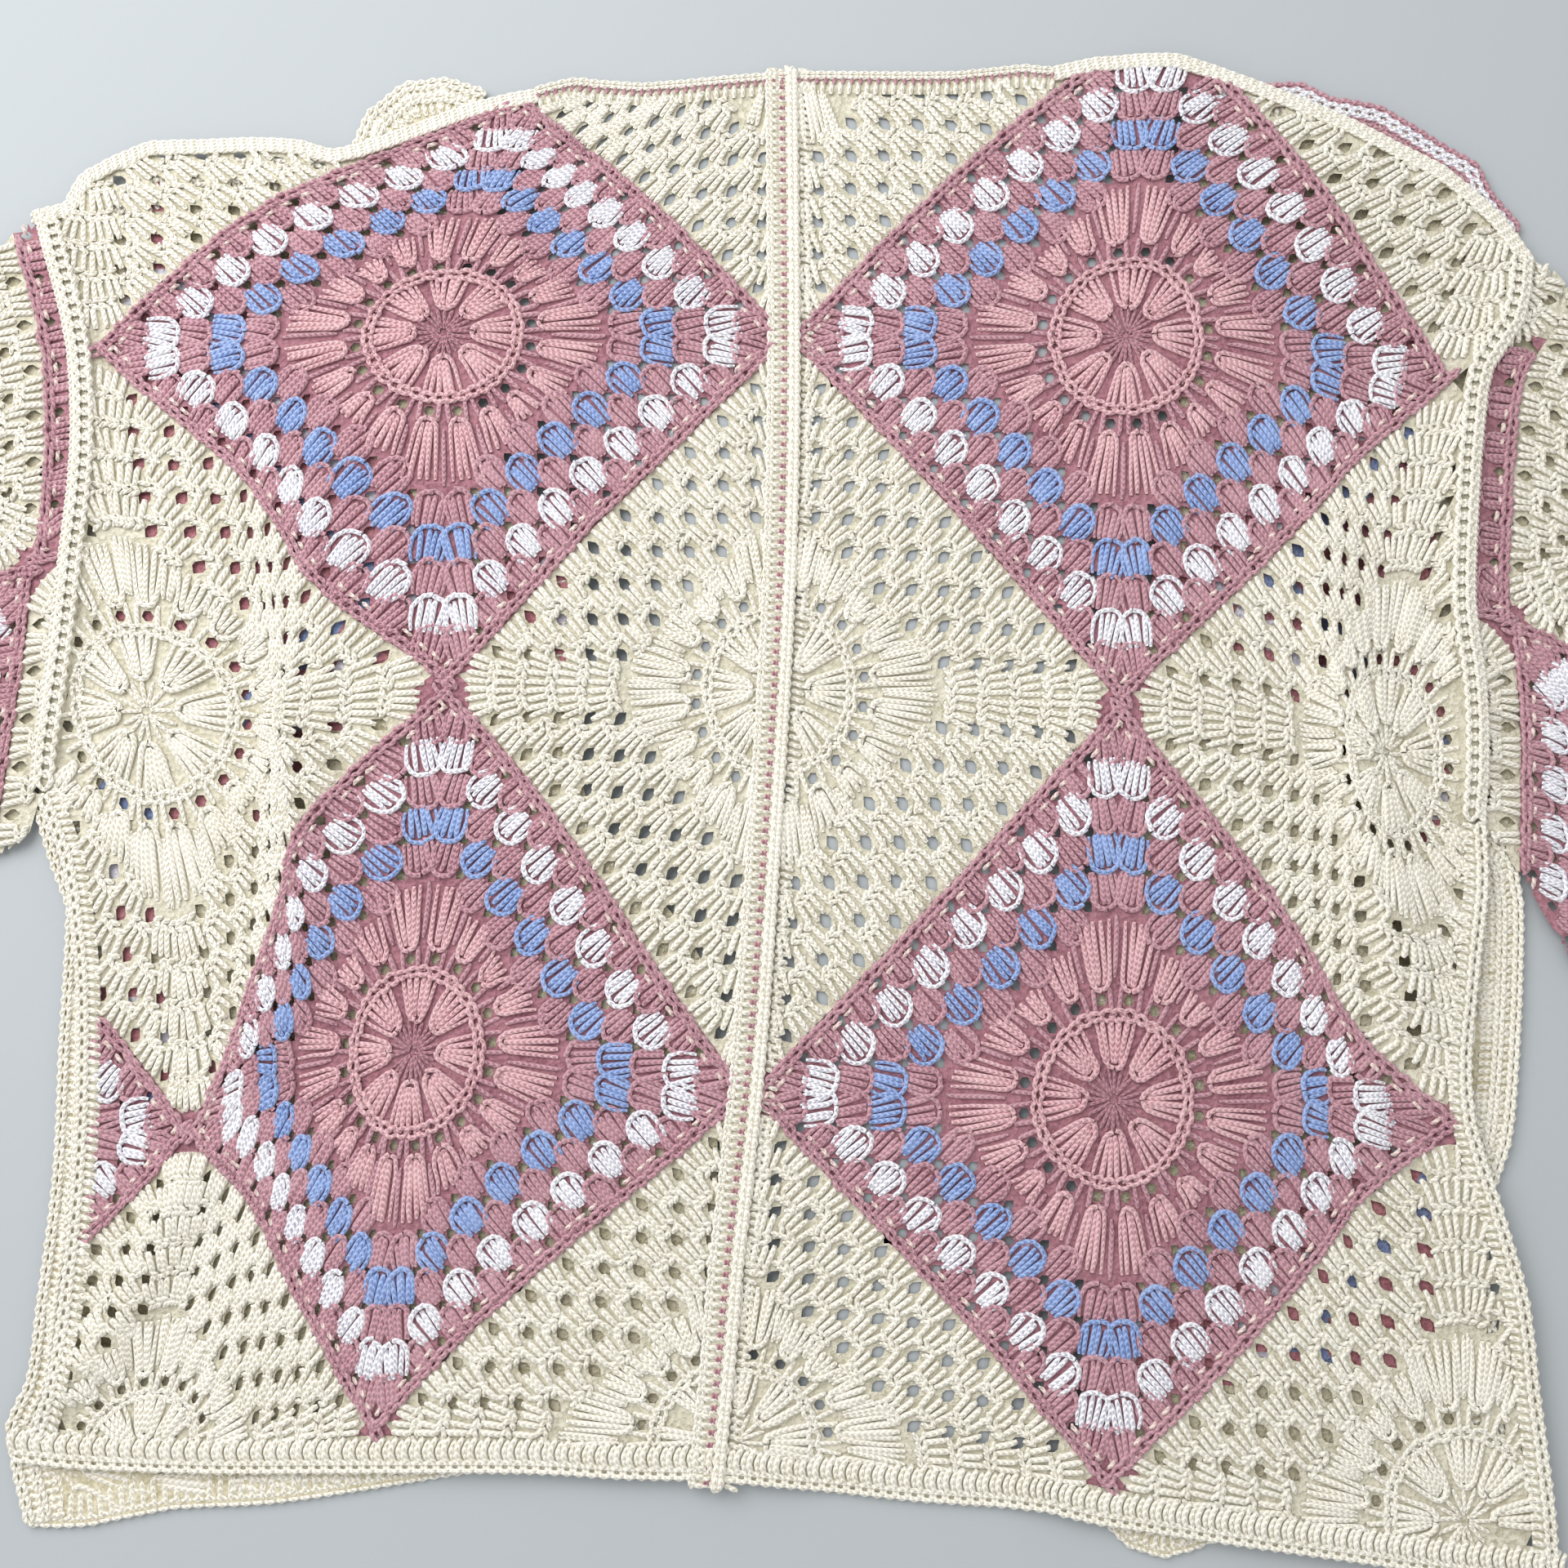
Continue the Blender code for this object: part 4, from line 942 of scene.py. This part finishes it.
# %% Lay all the squares
for name, i, j, side in SQUARES:
    def allowed(points, outline=BACK_OUTLINE):
        keep = inside(points, outline)
        if side:
            keep &= from_line(points, CENTRE_LINE)[1] == side
        return keep

    def reach(points):
        return allowed(points, ENDS_OUTLINE)

    def place(points):
        return lattice_place(points / UNIT + (i, j))

    kind = "rose" if "pink" in name else "cream"
    ground, faces, index, groups = lay_square(kind, place, upper_height, allowed, 5, j, reach)
    cloth = ground_piece(name + "_ground", ground, faces, index)
    posts = stitched_piece(name + "_posts", groups)
    under = "front_left_ground" if i < 0 or side < 0 else "front_right_ground"
    declare_cloth(cloth, [name])
print("squares laid:", len(SQUARES), "with", sum(triangle_count.values()), "triangles")

# %% [markdown]
# ## Sleeves
# A sleeve is a flat tube of the same squares, but here they stand straight along the armhole.
# Its chart is carried by a patch between four lines: the armhole, the upper fold, the under fold
# and the wrist. A Coons patch like this follows a curved armhole without a gap.

# %% Patch of a sleeve
SLEEVE_LONG = 400.0      # mean length of a sleeve's patch
SLEEVE_WIDE = 230.0      # its width at the armhole
SIDE_LONG = UNIT * math.sqrt(2)
LONG_STEP = 26.0         # between the places of its long lines
STRAIGHT_LONG, STRAIGHT_DROP = 130.0, 0.06      # it starts straight out, with a slight drop
UNDER_INSET = 6.5        # of its under layer from the folds of the upper one
FAR = 9999.0             # past everything


def line_at(line, share):
    """Places on a line at shares of its length, carried straight on beyond its ends."""
    way = way_along(line)
    s = share * way[-1]
    place = np.column_stack([np.interp(s, way, line[:, k]) for k in (0, 1)])
    first = (line[0] - line[1]) / np.linalg.norm(line[0] - line[1])
    last = (line[-1] - line[-2]) / np.linalg.norm(line[-1] - line[-2])
    place += np.maximum(-s, 0)[:, None] * first + np.maximum(s - way[-1], 0)[:, None] * last
    return place


def sleeve_patch(arm, top, low):
    """Function that carries places along and across a sleeve to the cloth."""
    arm = smooth_line(arm)[::-1]            # from the underarm to the shoulder
    top, low = smooth_line(top, LONG_STEP), smooth_line(low, LONG_STEP)
    out = 1.0 if top[-1, 0] > 0 else -1.0

    def place(along_mm, across_mm):
        u, v = along_mm / SLEEVE_LONG, across_mm / SLEEVE_WIDE
        grown = ((1 - v)[:, None] * (line_at(low, u) - low[0])
                 + v[:, None] * (line_at(top, u) - top[0]))
        straight = np.column_stack((out * along_mm, -STRAIGHT_DROP * along_mm))
        share = smooth_step(along_mm / STRAIGHT_LONG)[:, None]
        return line_at(arm, v) + (1 - share) * straight + share * grown
    return place


# %% Outline, wrist and squares of a sleeve
def sleeve_outline(arm, top, low, inset=0.0):
    """Outline of a sleeve, its long edges moved in by inset."""
    upper, lower, seam = smooth_line(top, LONG_STEP), smooth_line(low, LONG_STEP), smooth_line(arm)
    turn = 1.0 if top[-1][0] < top[0][0] else -1.0
    return np.vstack((offset_line(upper, turn * inset), offset_line(lower, -turn * inset)[::-1],
                      seam[1:-1][::-1]))


def cuff_line(top, low, inset):
    """Line of the wrist, from the upper fold to the under one."""
    ends = np.array((top[-1], low[-1]), dtype=float)
    way = (ends[1] - ends[0]) / np.linalg.norm(ends[1] - ends[0])
    return [tuple(ends[0] + way * inset), tuple(ends.mean(axis=0)), tuple(ends[1] - way * inset)]


def sleeve_squares(first_at, row_at, top_at):
    """Chart squares of a sleeve: kind, centre along and across, and limits across."""
    rows = []
    for k in range(-1, 3):
        for row in (0, 1):
            kind = "rose" if (k + row) % 2 == 0 else "cream"
            rows.append((kind, first_at + SIDE_LONG * (k + 0.5), row_at + SIDE_LONG * (row - 0.5),
                         -FAR, top_at if (k, row) == (-1, 1) else FAR))
    rows.append(("cream", first_at - SIDE_LONG / 2, top_at + SIDE_LONG / 2, top_at, FAR))
    return rows


# %% Lay both sleeves
def lay_sleeve(tag, arm, top, low, first_at, row_at, top_at):
    """Upper layer of a sleeve, with its squares from first_at along and row_at across."""
    patch = sleeve_patch(arm, top, low)
    outline = sleeve_outline(arm, top, low)
    wrist = cuff_line(top, low, 0.0)
    cuff = band_outline(wrist, *((RIB, 0.0) if tag == "left" else (0.0, RIB)))
    ways = np.array(((1, 1), (-1, 1))) / math.sqrt(2)

    def allowed(points):
        return inside(points, outline)

    points, faces, index, groups, start = [], [], [], [], 0
    for kind, along_at, across_at, low_at, high_at in sleeve_squares(first_at, row_at, top_at):
        def place(points):
            turned = points @ ways.T
            across = turned[:, 1] + across_at
            shown = patch(turned[:, 0] + along_at, across)
            shown[(across < low_at) | (across > high_at)] = FAR
            return shown

        ground, mine, yarn, posts = lay_square(kind, place, upper_height, allowed, 4)
        if len(mine):
            points.append(ground)
            faces.append(mine + start)
            index.append(yarn)
            groups += posts
            start += len(ground)
    off_cuff = [~inside(paths[:, 1, :2], cuff) for _key, paths, _radii, _sides in groups]
    groups = [(key, paths[free], radii[free], sides)
              for free, (key, paths, radii, sides) in zip(off_cuff, groups)]
    cloth = ground_piece(f"sleeve_upper_{tag}_ground", np.vstack(points), np.vstack(faces),
                         np.concatenate(index), outline)
    posts = stitched_piece(f"sleeve_upper_{tag}_posts", groups)
    declare_cloth(cloth, [f"sleeve_upper_{tag}"])


lay_sleeve("left", ARM_LEFT, SLEEVE_TOP_LEFT, SLEEVE_LOW_LEFT, 16.0, 0.38 * SLEEVE_WIDE, 400.0)
lay_sleeve("right", ARM_RIGHT, SLEEVE_TOP_RIGHT, SLEEVE_LOW_RIGHT, 19.0, 0.34 * SLEEVE_WIDE, 190.0)
print("with sleeves:", sum(triangle_count.values()), "triangles")

# %% [markdown]
# ## Chains and rows of bars
# Two small stitches make every edge of the garment. A chain is a row of loops, each an oval of
# two strands that starts inside the one before. A bar is one short post across the edge. Both
# take evenly spaced places on a line, so an edge is a line, a spacing and a yarn.

# %% Chains and bars
def beside(line, shift, pitch):
    """Evenly spaced places to the left of a line, the direction there and that to the left."""
    place, run = along(offset_line(line, shift), pitch)
    return place, run, left_of(run)


def edge_group(plan, rise, radii, yarn):
    """A group of tubes from flat paths, their height and their radii."""
    return yarn, np.concatenate((plan, rise[..., None]), axis=2), np.broadcast_to(
        radii, plan.shape[:2]), 5


def chain_on(line, shift, pitch, half, radius, base, lift=0.9, yarn="cream", height=upper_height):
    """Links of a chain beside a line; the last one ends at the line's end."""
    place, run, side = (rows[:-1, None] for rows in beside(line, shift, pitch))
    t = np.linspace(0, 1, 5)
    reach = (t - 0.2)[None, :, None] * (pitch * 1.5) * run
    sway = half * np.sin(np.pi * t)[None, :, None] * side
    plan = np.concatenate([place + reach + hand * sway for hand in (-1, 1)])
    return edge_group(plan, height(plan) + base + lift * np.sin(np.pi * t) ** 0.7,
                      radius * (0.65 + 0.35 * np.sin(np.pi * t)), yarn)


def bars_on(line, shift, pitch, start, end, slant, radius, base, lift=0.8, curl=0.0, ahead=0.0,
            yarn="cream", height=upper_height):
    """Posts beside a line, from start to end to its left; curl bends them along the line."""
    place, run, side = (rows[:, None] for rows in beside(line, shift, pitch))
    t = np.array((0.0, 0.18, 0.82, 1.0)) if curl == 0 else np.linspace(0, 1, 6)
    plan = (place + ahead * run + side * (start + (end - start) * t)[None, :, None]
            + run * (slant * (t - 0.5) + curl * np.sin(np.pi * t))[None, :, None])
    arch = np.sin(np.pi * t) ** 0.6
    return edge_group(plan, height(plan) + base + lift * arch, radius * (0.7 + 0.3 * arch), yarn)


print("bars along the hem:", len(bars_on(smooth_line(HEM), 0.0, 4.9, 2.2, 11.6, 0.4, 1.35, 1.7)[1]))


# %% [markdown]
# ## The layer underneath
# The fronts and the under sides of the sleeves are seen only through the gaps and where they
# peek out at the edges, so they are plain sheets of a few thousand triangles. Their rounds of
# colour still matter: through the gaps of the cream squares come rose, blue and white. Each
# triangle takes its yarn from the round of the chart that it lies in. Where a front comes out
# from under the back, at the shoulder, the side and the hem, it gets posts and edge stitches.

# %% Plain sheets and the yarn they show
UNDER_STEP = 7.0
UNDER_TOP = 1.9          # height of the fronts' yarn over the table
ROUND_EDGES = (61.0, 70.0, 78.5, 87.0)         # inner and outer edge of the blue and white rounds
FRONT_STEP = np.array((134.0, 146.0))          # of the fronts' lattice, which is less pulled
ROUNDS_AT, POSTS_AT = (17, 82), (-3.0, 37.0)   # a centre in it for the rounds and for the posts
ROSE_HALF, ROSE_TOP, ROSE_LOW = 262, 245, (-130, -225)      # where the rose squares lie in them


def sheet_net(outline, spacing):
    """Points and triangles of a plain sheet."""
    spots = spots_between(outline.min(axis=0), outline.max(axis=0), spacing, spacing * 0.866)
    spots = spots[inside(spots, outline)]
    spots = spots[from_line(spots, np.vstack((outline, outline[:1])))[0] > spacing * 0.4]
    points, faces = triangulate([outline], spots)
    return points, faces[inside(points[faces].mean(axis=1), outline)]


def front_yarn(points):
    """Which yarn the fronts show at points: rose squares where the back has cream ones."""
    ij = (points - ROUNDS_AT) / FRONT_STEP
    nearest = np.round(ij)
    best = np.full(len(points), 9.0)
    square = np.zeros((len(points), 2))
    for di in (-1, 0, 1):
        for dj in (-1, 0, 1):
            spot = nearest + (di, dj)
            odd = (spot.sum(axis=1) % 2) == 0
            far = np.abs(ij - spot).sum(axis=1)
            better = odd & (far < best)
            best[better], square[better] = far[better], spot[better]
    off = (ij - square) * UNIT
    normal = np.abs(off).sum(axis=1) / math.sqrt(2)
    rose = ((square[:, 0] % 2) == 0) & (np.abs(points[:, 0] + 3) < ROSE_HALF)
    rose &= (points[:, 1] > np.where(points[:, 0] < 0, *ROSE_LOW)) & (points[:, 1] < ROSE_TOP)
    yarn = np.ones(len(points), dtype=int)
    yarn[(normal > ROUND_EDGES[0]) & (normal < ROUND_EDGES[1])] = 2
    yarn[(normal > ROUND_EDGES[2]) & (normal < ROUND_EDGES[3])] = 3
    return np.where(rose, yarn, 0)


# The layer underneath takes darker copies of the yarns on top: painted shade under the back.
UNDER_KEYS = ["cream_under_shaded", "rose_under_shaded", "blue_under_shaded", "white_ground_shaded"]


def under_piece(name, outline, yarn_of):
    points, faces = sheet_net(outline, UNDER_STEP)
    rows = np.column_stack((points, np.full(len(points), UNDER_TOP)))
    obj = mesh_piece(name, rows, faces, UNDER_KEYS, yarn_of(points[faces].mean(axis=1)))
    triangle_count[name] = len(faces)
    return obj


# %% Lay the fronts and the under sleeves
COVERED = back_outline(-3.0, -3.0, 0.0)        # a little more than the back
for tag, edge, top, hem, side, arm, way in (
        ("left", FRONT_EDGE_LEFT, FRONT_TOP_LEFT, FRONT_HEM_LEFT, FRONT_SIDE_LEFT, ARM_LEFT, -1),
        ("right", FRONT_EDGE_RIGHT, FRONT_TOP_RIGHT, FRONT_HEM_RIGHT, FRONT_SIDE_RIGHT,
         ARM_RIGHT, 1)):
    seam = offset_line(smooth_line(arm), way * 0.35)
    loop = [smooth_line(edge)]
    loop.append(smooth_line(hem)[::-1][1:] if tag == "left" else smooth_line(hem)[1:])
    loop.append(smooth_line(side)[::-1][1:])
    loop.append(seam[1:-1][::-1])
    loop.append(smooth_line(top)[:-1] if tag == "left" else smooth_line(top)[1:][::-1])
    outline = np.vstack(loop)
    cloth = under_piece(f"front_{tag}_ground", outline, front_yarn)
    shown = np.vstack((outline, outline[:1]))

    def allowed(points):
        far = from_line(points, shown)[0]
        return inside(points, shown) & (far > 1.5) & ~inside(points, COVERED) & (
            points[:, 0] * way > 0)

    groups = []
    for i, j in ((-2, 0), (2, 0), (-1, 1), (1, 1), (-1, -1), (1, -1), (-2, 2), (2, 2), (0, 2),
                 (-2, -2), (2, -2), (0, -2)):
        def place(points):
            return (points / UNIT + (i, j)) * FRONT_STEP + POSTS_AT

        groups += lay_square("cream", place, table_height, allowed, 4)[3]
    for line, turn in ((smooth_line(top), -1.0), (smooth_line(side), -way)):
        rosy = turn < 0 and tag == "right" and line[0, 1] > 0
        groups += [chain_on(line, turn * shift, 4.8, 1.4, 1.1, UNDER_TOP,
                            yarn="rose" if rosy else "cream", height=table_height)
                   for shift in (1.3, 7.6)]
        if rosy:
            groups.append(chain_on(line, turn * 4.4, 5.2, 1.8, 1.0, UNDER_TOP + 0.8,
                                   yarn="white", height=table_height))
        groups += [bars_on(line, 0.0, 3.0, turn * first, turn * (first + 5.0), 0.6, 1.2,
                           UNDER_TOP - 0.3, 0.5, height=table_height) for first in (2.6, 9.0)]
    posts = stitched_piece(f"front_{tag}_posts", groups)
    declare_cloth(cloth, [f"front_{tag}"])
    low_outline = sleeve_outline(arm, SLEEVE_TOP_LEFT if tag == "left" else SLEEVE_TOP_RIGHT,
                                 SLEEVE_LOW_LEFT if tag == "left" else SLEEVE_LOW_RIGHT,
                                 UNDER_INSET)
    under = under_piece(f"sleeve_under_{tag}_ground", low_outline,
                        lambda points: np.zeros(len(points)))
    declare_cloth(under, [f"sleeve_under_{tag}"])
print("with the layer underneath:", sum(triangle_count.values()), "triangles")

# %% [markdown]
# ## Borders and ribs
# The seams of the back are covered by crocheted bands, each a rounded ribbon of ground with rows
# of stitches on it. The centre has a ridge chain, a ladder with small deep rose stitches between
# its rungs, bars and an edge chain. The neck shows a row of rose stitches under its chain, and
# the hem a rib of curled loops.

# %% A band and its stitches
ACROSS = 7               # points across a ribbon
FLAT_GAIN = 1.05         # a band is that much wider than it lies, for its round crown


def ribbon(name, line, left, right, height, base, crown):
    """Ground of a band, rounded down at both edges."""
    place, run = along(line, 5.0)
    across = np.linspace(-right, left, ACROSS)[None, :, None]
    plan = place[:, None] + left_of(run)[:, None] * across
    arch = np.sqrt(np.clip(1 - np.linspace(-1, 1, ACROSS) ** 2, 0, 1))
    z = height(plan) + base + crown * arch
    rows = np.concatenate((plan, z[..., None]), axis=2).reshape(-1, 3)
    number = np.arange(len(rows)).reshape(len(place), ACROSS)
    a, b = number[:-1], number[1:]
    faces = np.stack((a[:, :-1], a[:, 1:], b[:, 1:], b[:, :-1]), axis=-1).reshape(-1, 4)
    triangle_count[name] = 2 * len(faces)
    # The band's ground takes the darker cream ground yarn: painted shade under its stitches.
    return mesh_piece(name, rows, faces, ["cream_ground_shaded"], np.zeros(len(faces)))


def border(name, line, left, right, nodes, groups, rests_on=("table",), crown=1.4, base=0.9,
           height=upper_height):
    """A band with its stitches, in the place of its CAD nodes."""
    cloth = ribbon(name + "_ground", line, left, right, height, base, crown)
    stitches = stitched_piece(name + "_stitches", groups)
    declare_cloth(cloth, nodes,
                  flat=((left + right) * MM * FLAT_GAIN, way_along(line)[-1] * MM))


# %% Centre, neck and hem of the back
line = smooth_line(CENTRE)[::-1]          # upwards, so its left is the left of the photo
groups = [chain_on(line, 1.6, 4.4, 1.2, 1.35, 2.6, 1.0),
          bars_on(line, 3.4, 4.4, -0.9, 0.9, 3.4, 1.15, 2.2, 0.7),
          bars_on(line, 5.7, 4.4, -1.5, 1.5, 0.3, 0.8, 2.0, 0.4)]
for shift in (-0.7, 0.7):
    key, paths, radii, sides = bars_on(line, 5.7, 4.4, shift - 0.01, shift + 0.01, 2.4, 0.95, 1.9,
                                       0.3, ahead=1.0, yarn="deep")
    groups.append((key, paths[:-1], radii[:-1], sides))
groups += [bars_on(line, -3.4, 3.0, -2.3, 2.3, 1.4, 1.1, 1.4, 0.5),
           bars_on(line, 9.3, 3.1, -2.3, 2.3, 0.6, 1.15, 1.9, 0.9),
           chain_on(line, 11.2, 4.4, 1.0, 0.95, 1.7, 0.8)]
border("centre_back_border", line, CENTRE_BAND, -0.4, ["centre_back_border"], groups)

line = smooth_line(NECK)
border("neck_border", line, 0.0, NECK_BAND, ["neck_border_left", "neck_border_right"],
       [chain_on(line, -1.2, 4.4, 1.1, 0.9, 1.6, 0.8),
        bars_on(line, -3.4, 3.6, -1.1, 1.1, 0.4, 1.05, 1.9, 0.4, yarn="rose"),
        bars_on(line, -6.6, 3.6, -2.3, 2.3, 0.5, 1.1, 1.5, 0.6)], crown=0.7)

line = smooth_line(HEM)
border("hem_rib", line, RIB, 0.0, ["hem_rib_left", "hem_rib_right"],
       [bars_on(line, 0.0, 4.9, 2.2, 11.6, 0.4, 1.35, 1.7, 1.0, -2.0),
        bars_on(line, 0.0, 4.9, 3.4, 10.6, 0.4, 1.15, 1.6, 0.8, -1.5, 2.3),
        chain_on(line, 1.2, 4.6, 1.7, 1.15, 1.2)],
       ("front_left_ground", "front_right_ground"), 0.7)

# %% Armholes, sides and shoulders
for tag, arm, side, shoulder in (("left", ARM_LEFT, SIDE_LEFT, SHOULDER_LEFT),
                                 ("right", ARM_RIGHT, SIDE_RIGHT, SHOULDER_RIGHT)):
    arm, side, shoulder = smooth_line(arm), smooth_line(side), smooth_line(shoulder)
    out = -1.0 if tag == "left" else 1.0          # the side of the sleeve
    for name, line, left, right, crown, groups in (
            (f"armhole_border_{tag}", arm, ARM_BAND / 2, ARM_BAND / 2, 0.9,
             [bars_on(arm, 3.2 * out, 2.7, -1.2, 1.2, 3.2 * out, 1.25, 2.3, 0.9),
              chain_on(arm, -1.2 * out, 5.2, 2.8, 1.2, 2.4, 1.1)]),
            (f"side_border_{tag}", side, SIDE_BAND / 2, SIDE_BAND / 2, 0.9,
             [bars_on(side, -1.8 * out, 3.2, -2.2, 2.2, 1.4, 1.25, 1.7, 0.9),
              chain_on(side, 2.2 * out, 5.0, 1.8, 1.15, 1.8, 1.0)]),
            (f"shoulder_border_{tag}", shoulder, 0.0, SHOULDER_BAND, 1.0,
             [chain_on(shoulder, shift, 4.0, 0.8, 1.2, 1.8, 0.6) for shift in (-1.1, -3.9)])):
        border(name, line, left, right, [name], groups, (f"front_{tag}_ground",), crown)

# %% Edges and hems of the fronts
for tag, edge, hem in (("left", FRONT_EDGE_LEFT, FRONT_HEM_LEFT),
                       ("right", FRONT_EDGE_RIGHT, FRONT_HEM_RIGHT)):
    edge, hem = smooth_line(edge), smooth_line(hem)
    left, right = (0.0, RIB) if tag == "left" else (RIB, 0.0)
    middle = (left - right) / 2
    low = {"height": table_height}
    border(f"front_edge_border_{tag}", edge, left, right, [f"front_edge_border_{tag}"],
           [bars_on(edge, 0.0, 4.4, middle - 5, middle + 5, 0.4, 1.2, 0.9, 0.2, **low)],
           crown=0.4, base=0.6, **low)
    border(f"front_hem_rib_{tag}", hem, RIB, 0.0, [f"front_hem_rib_{tag}"],
           [bars_on(hem, 0.0, 4.0, 1.0, 11.3, 0.4, 1.4, 1.0, 0.4, **low),
            chain_on(hem, 0.9, 4.4, 1.4, 1.0, 0.9, 0.5, **low)], crown=0.4, base=0.6, **low)

# %% Cuffs
for tag, top, low in (("left", SLEEVE_TOP_LEFT, SLEEVE_LOW_LEFT),
                      ("right", SLEEVE_TOP_RIGHT, SLEEVE_LOW_RIGHT)):
    left, right = (RIB, 0.0) if tag == "left" else (0.0, RIB)
    middle = (left - right) / 2
    for layer, inset, radius, base, lift, crown, ground_at, height in (
            ("upper", 0.0, 1.5, 1.5, 0.6, 1.0, 0.9, upper_height),
            ("under", UNDER_INSET, 1.1, 0.9, 0.2, 0.4, 0.6, table_height)):
        line = smooth_line(cuff_line(top, low, inset))
        name = f"cuff_rib_{layer}_{tag}"
        border(name, line, left, right, [name],
               [bars_on(line, 0.0, 4.0, middle - 5.2, middle + 5.2, 0.4, radius, base, lift,
                        height=height)], crown=crown, base=ground_at, height=height)
print("triangles in all:", sum(triangle_count.values()), "most in one:",
      max(triangle_count, key=triangle_count.get), max(triangle_count.values()))

# %% [markdown]
# ## Floor, light and camera
# The photograph shows a pale table under a soft, even light from above. A large floor in a pale
# grey with a fine tooth, one big soft lamp and a pale sky give the same. The camera stands above
# the middle of the back, tilted a few degrees.

# %% Floor
def floor_material():
    material = bpy.data.materials.new("matt_pale_table")
    material.use_nodes = True
    tree = material.node_tree
    tree.nodes.clear()
    place = add(tree, "TexCoord")
    noise = add(tree, "TexNoise", {"Vector": place.outputs["Object"], "Scale": 260.0,
                                   "Detail": 3.0})
    bump = add(tree, "Bump", {"Height": noise, "Strength": 0.15, "Distance": 0.0006})
    shader = add(tree, "BsdfPrincipled",
                 {"Base Color": linear("#B0B5B8"), "Roughness": 0.85, "Normal": bump})
    add(tree, "OutputMaterial", {"Surface": shader})
    return material


floor_mesh = bpy.data.meshes.new("table")
floor_mesh.from_pydata([(-4, -4, -0.0004), (4, -4, -0.0004), (4, 4, -0.0004), (-4, 4, -0.0004)],
                       [], [(0, 1, 2, 3)])
floor_mesh.materials.append(floor_material())
table = bpy.data.objects.new("table", floor_mesh)
bpy.context.scene.collection.objects.link(table)

# %% Light
world = bpy.data.worlds.new("soft_studio")
world.use_nodes = True
world.node_tree.nodes["Background"].inputs["Color"].default_value = linear("#F0F1F2")
world.node_tree.nodes["Background"].inputs["Strength"].default_value = 0.86
bpy.context.scene.world = world
lamp_data = bpy.data.lights.new("soft_key", "AREA")
lamp_data.shape = "SQUARE"
lamp_data.size = 0.9
lamp_data.energy = 11.4
lamp = bpy.data.objects.new("soft_key", lamp_data)
lamp.location = (-0.55, 0.5, 0.9)
lamp.rotation_euler = (Vector((0.0, 0.0, 0.0)) - lamp.location).to_track_quat("-Z", "Y").to_euler()
bpy.context.scene.collection.objects.link(lamp)

# %% Camera
CAMERA_AT = Vector((0.0295, -0.0755, 0.6514))
LOOK_AT = Vector((0.0295, -0.0013, 0.0))
camera_data = bpy.data.cameras.new("photo_camera")
camera_data.lens = 38.6
camera = bpy.data.objects.new("photo_camera", camera_data)
camera.location = CAMERA_AT
camera.rotation_euler = (LOOK_AT - CAMERA_AT).to_track_quat("-Z", "Y").to_euler()
bpy.context.scene.collection.objects.link(camera)
bpy.context.scene.camera = camera
bpy.context.scene.view_settings.view_transform = "Standard"
print("camera %.2f m above the table" % camera.location.z)
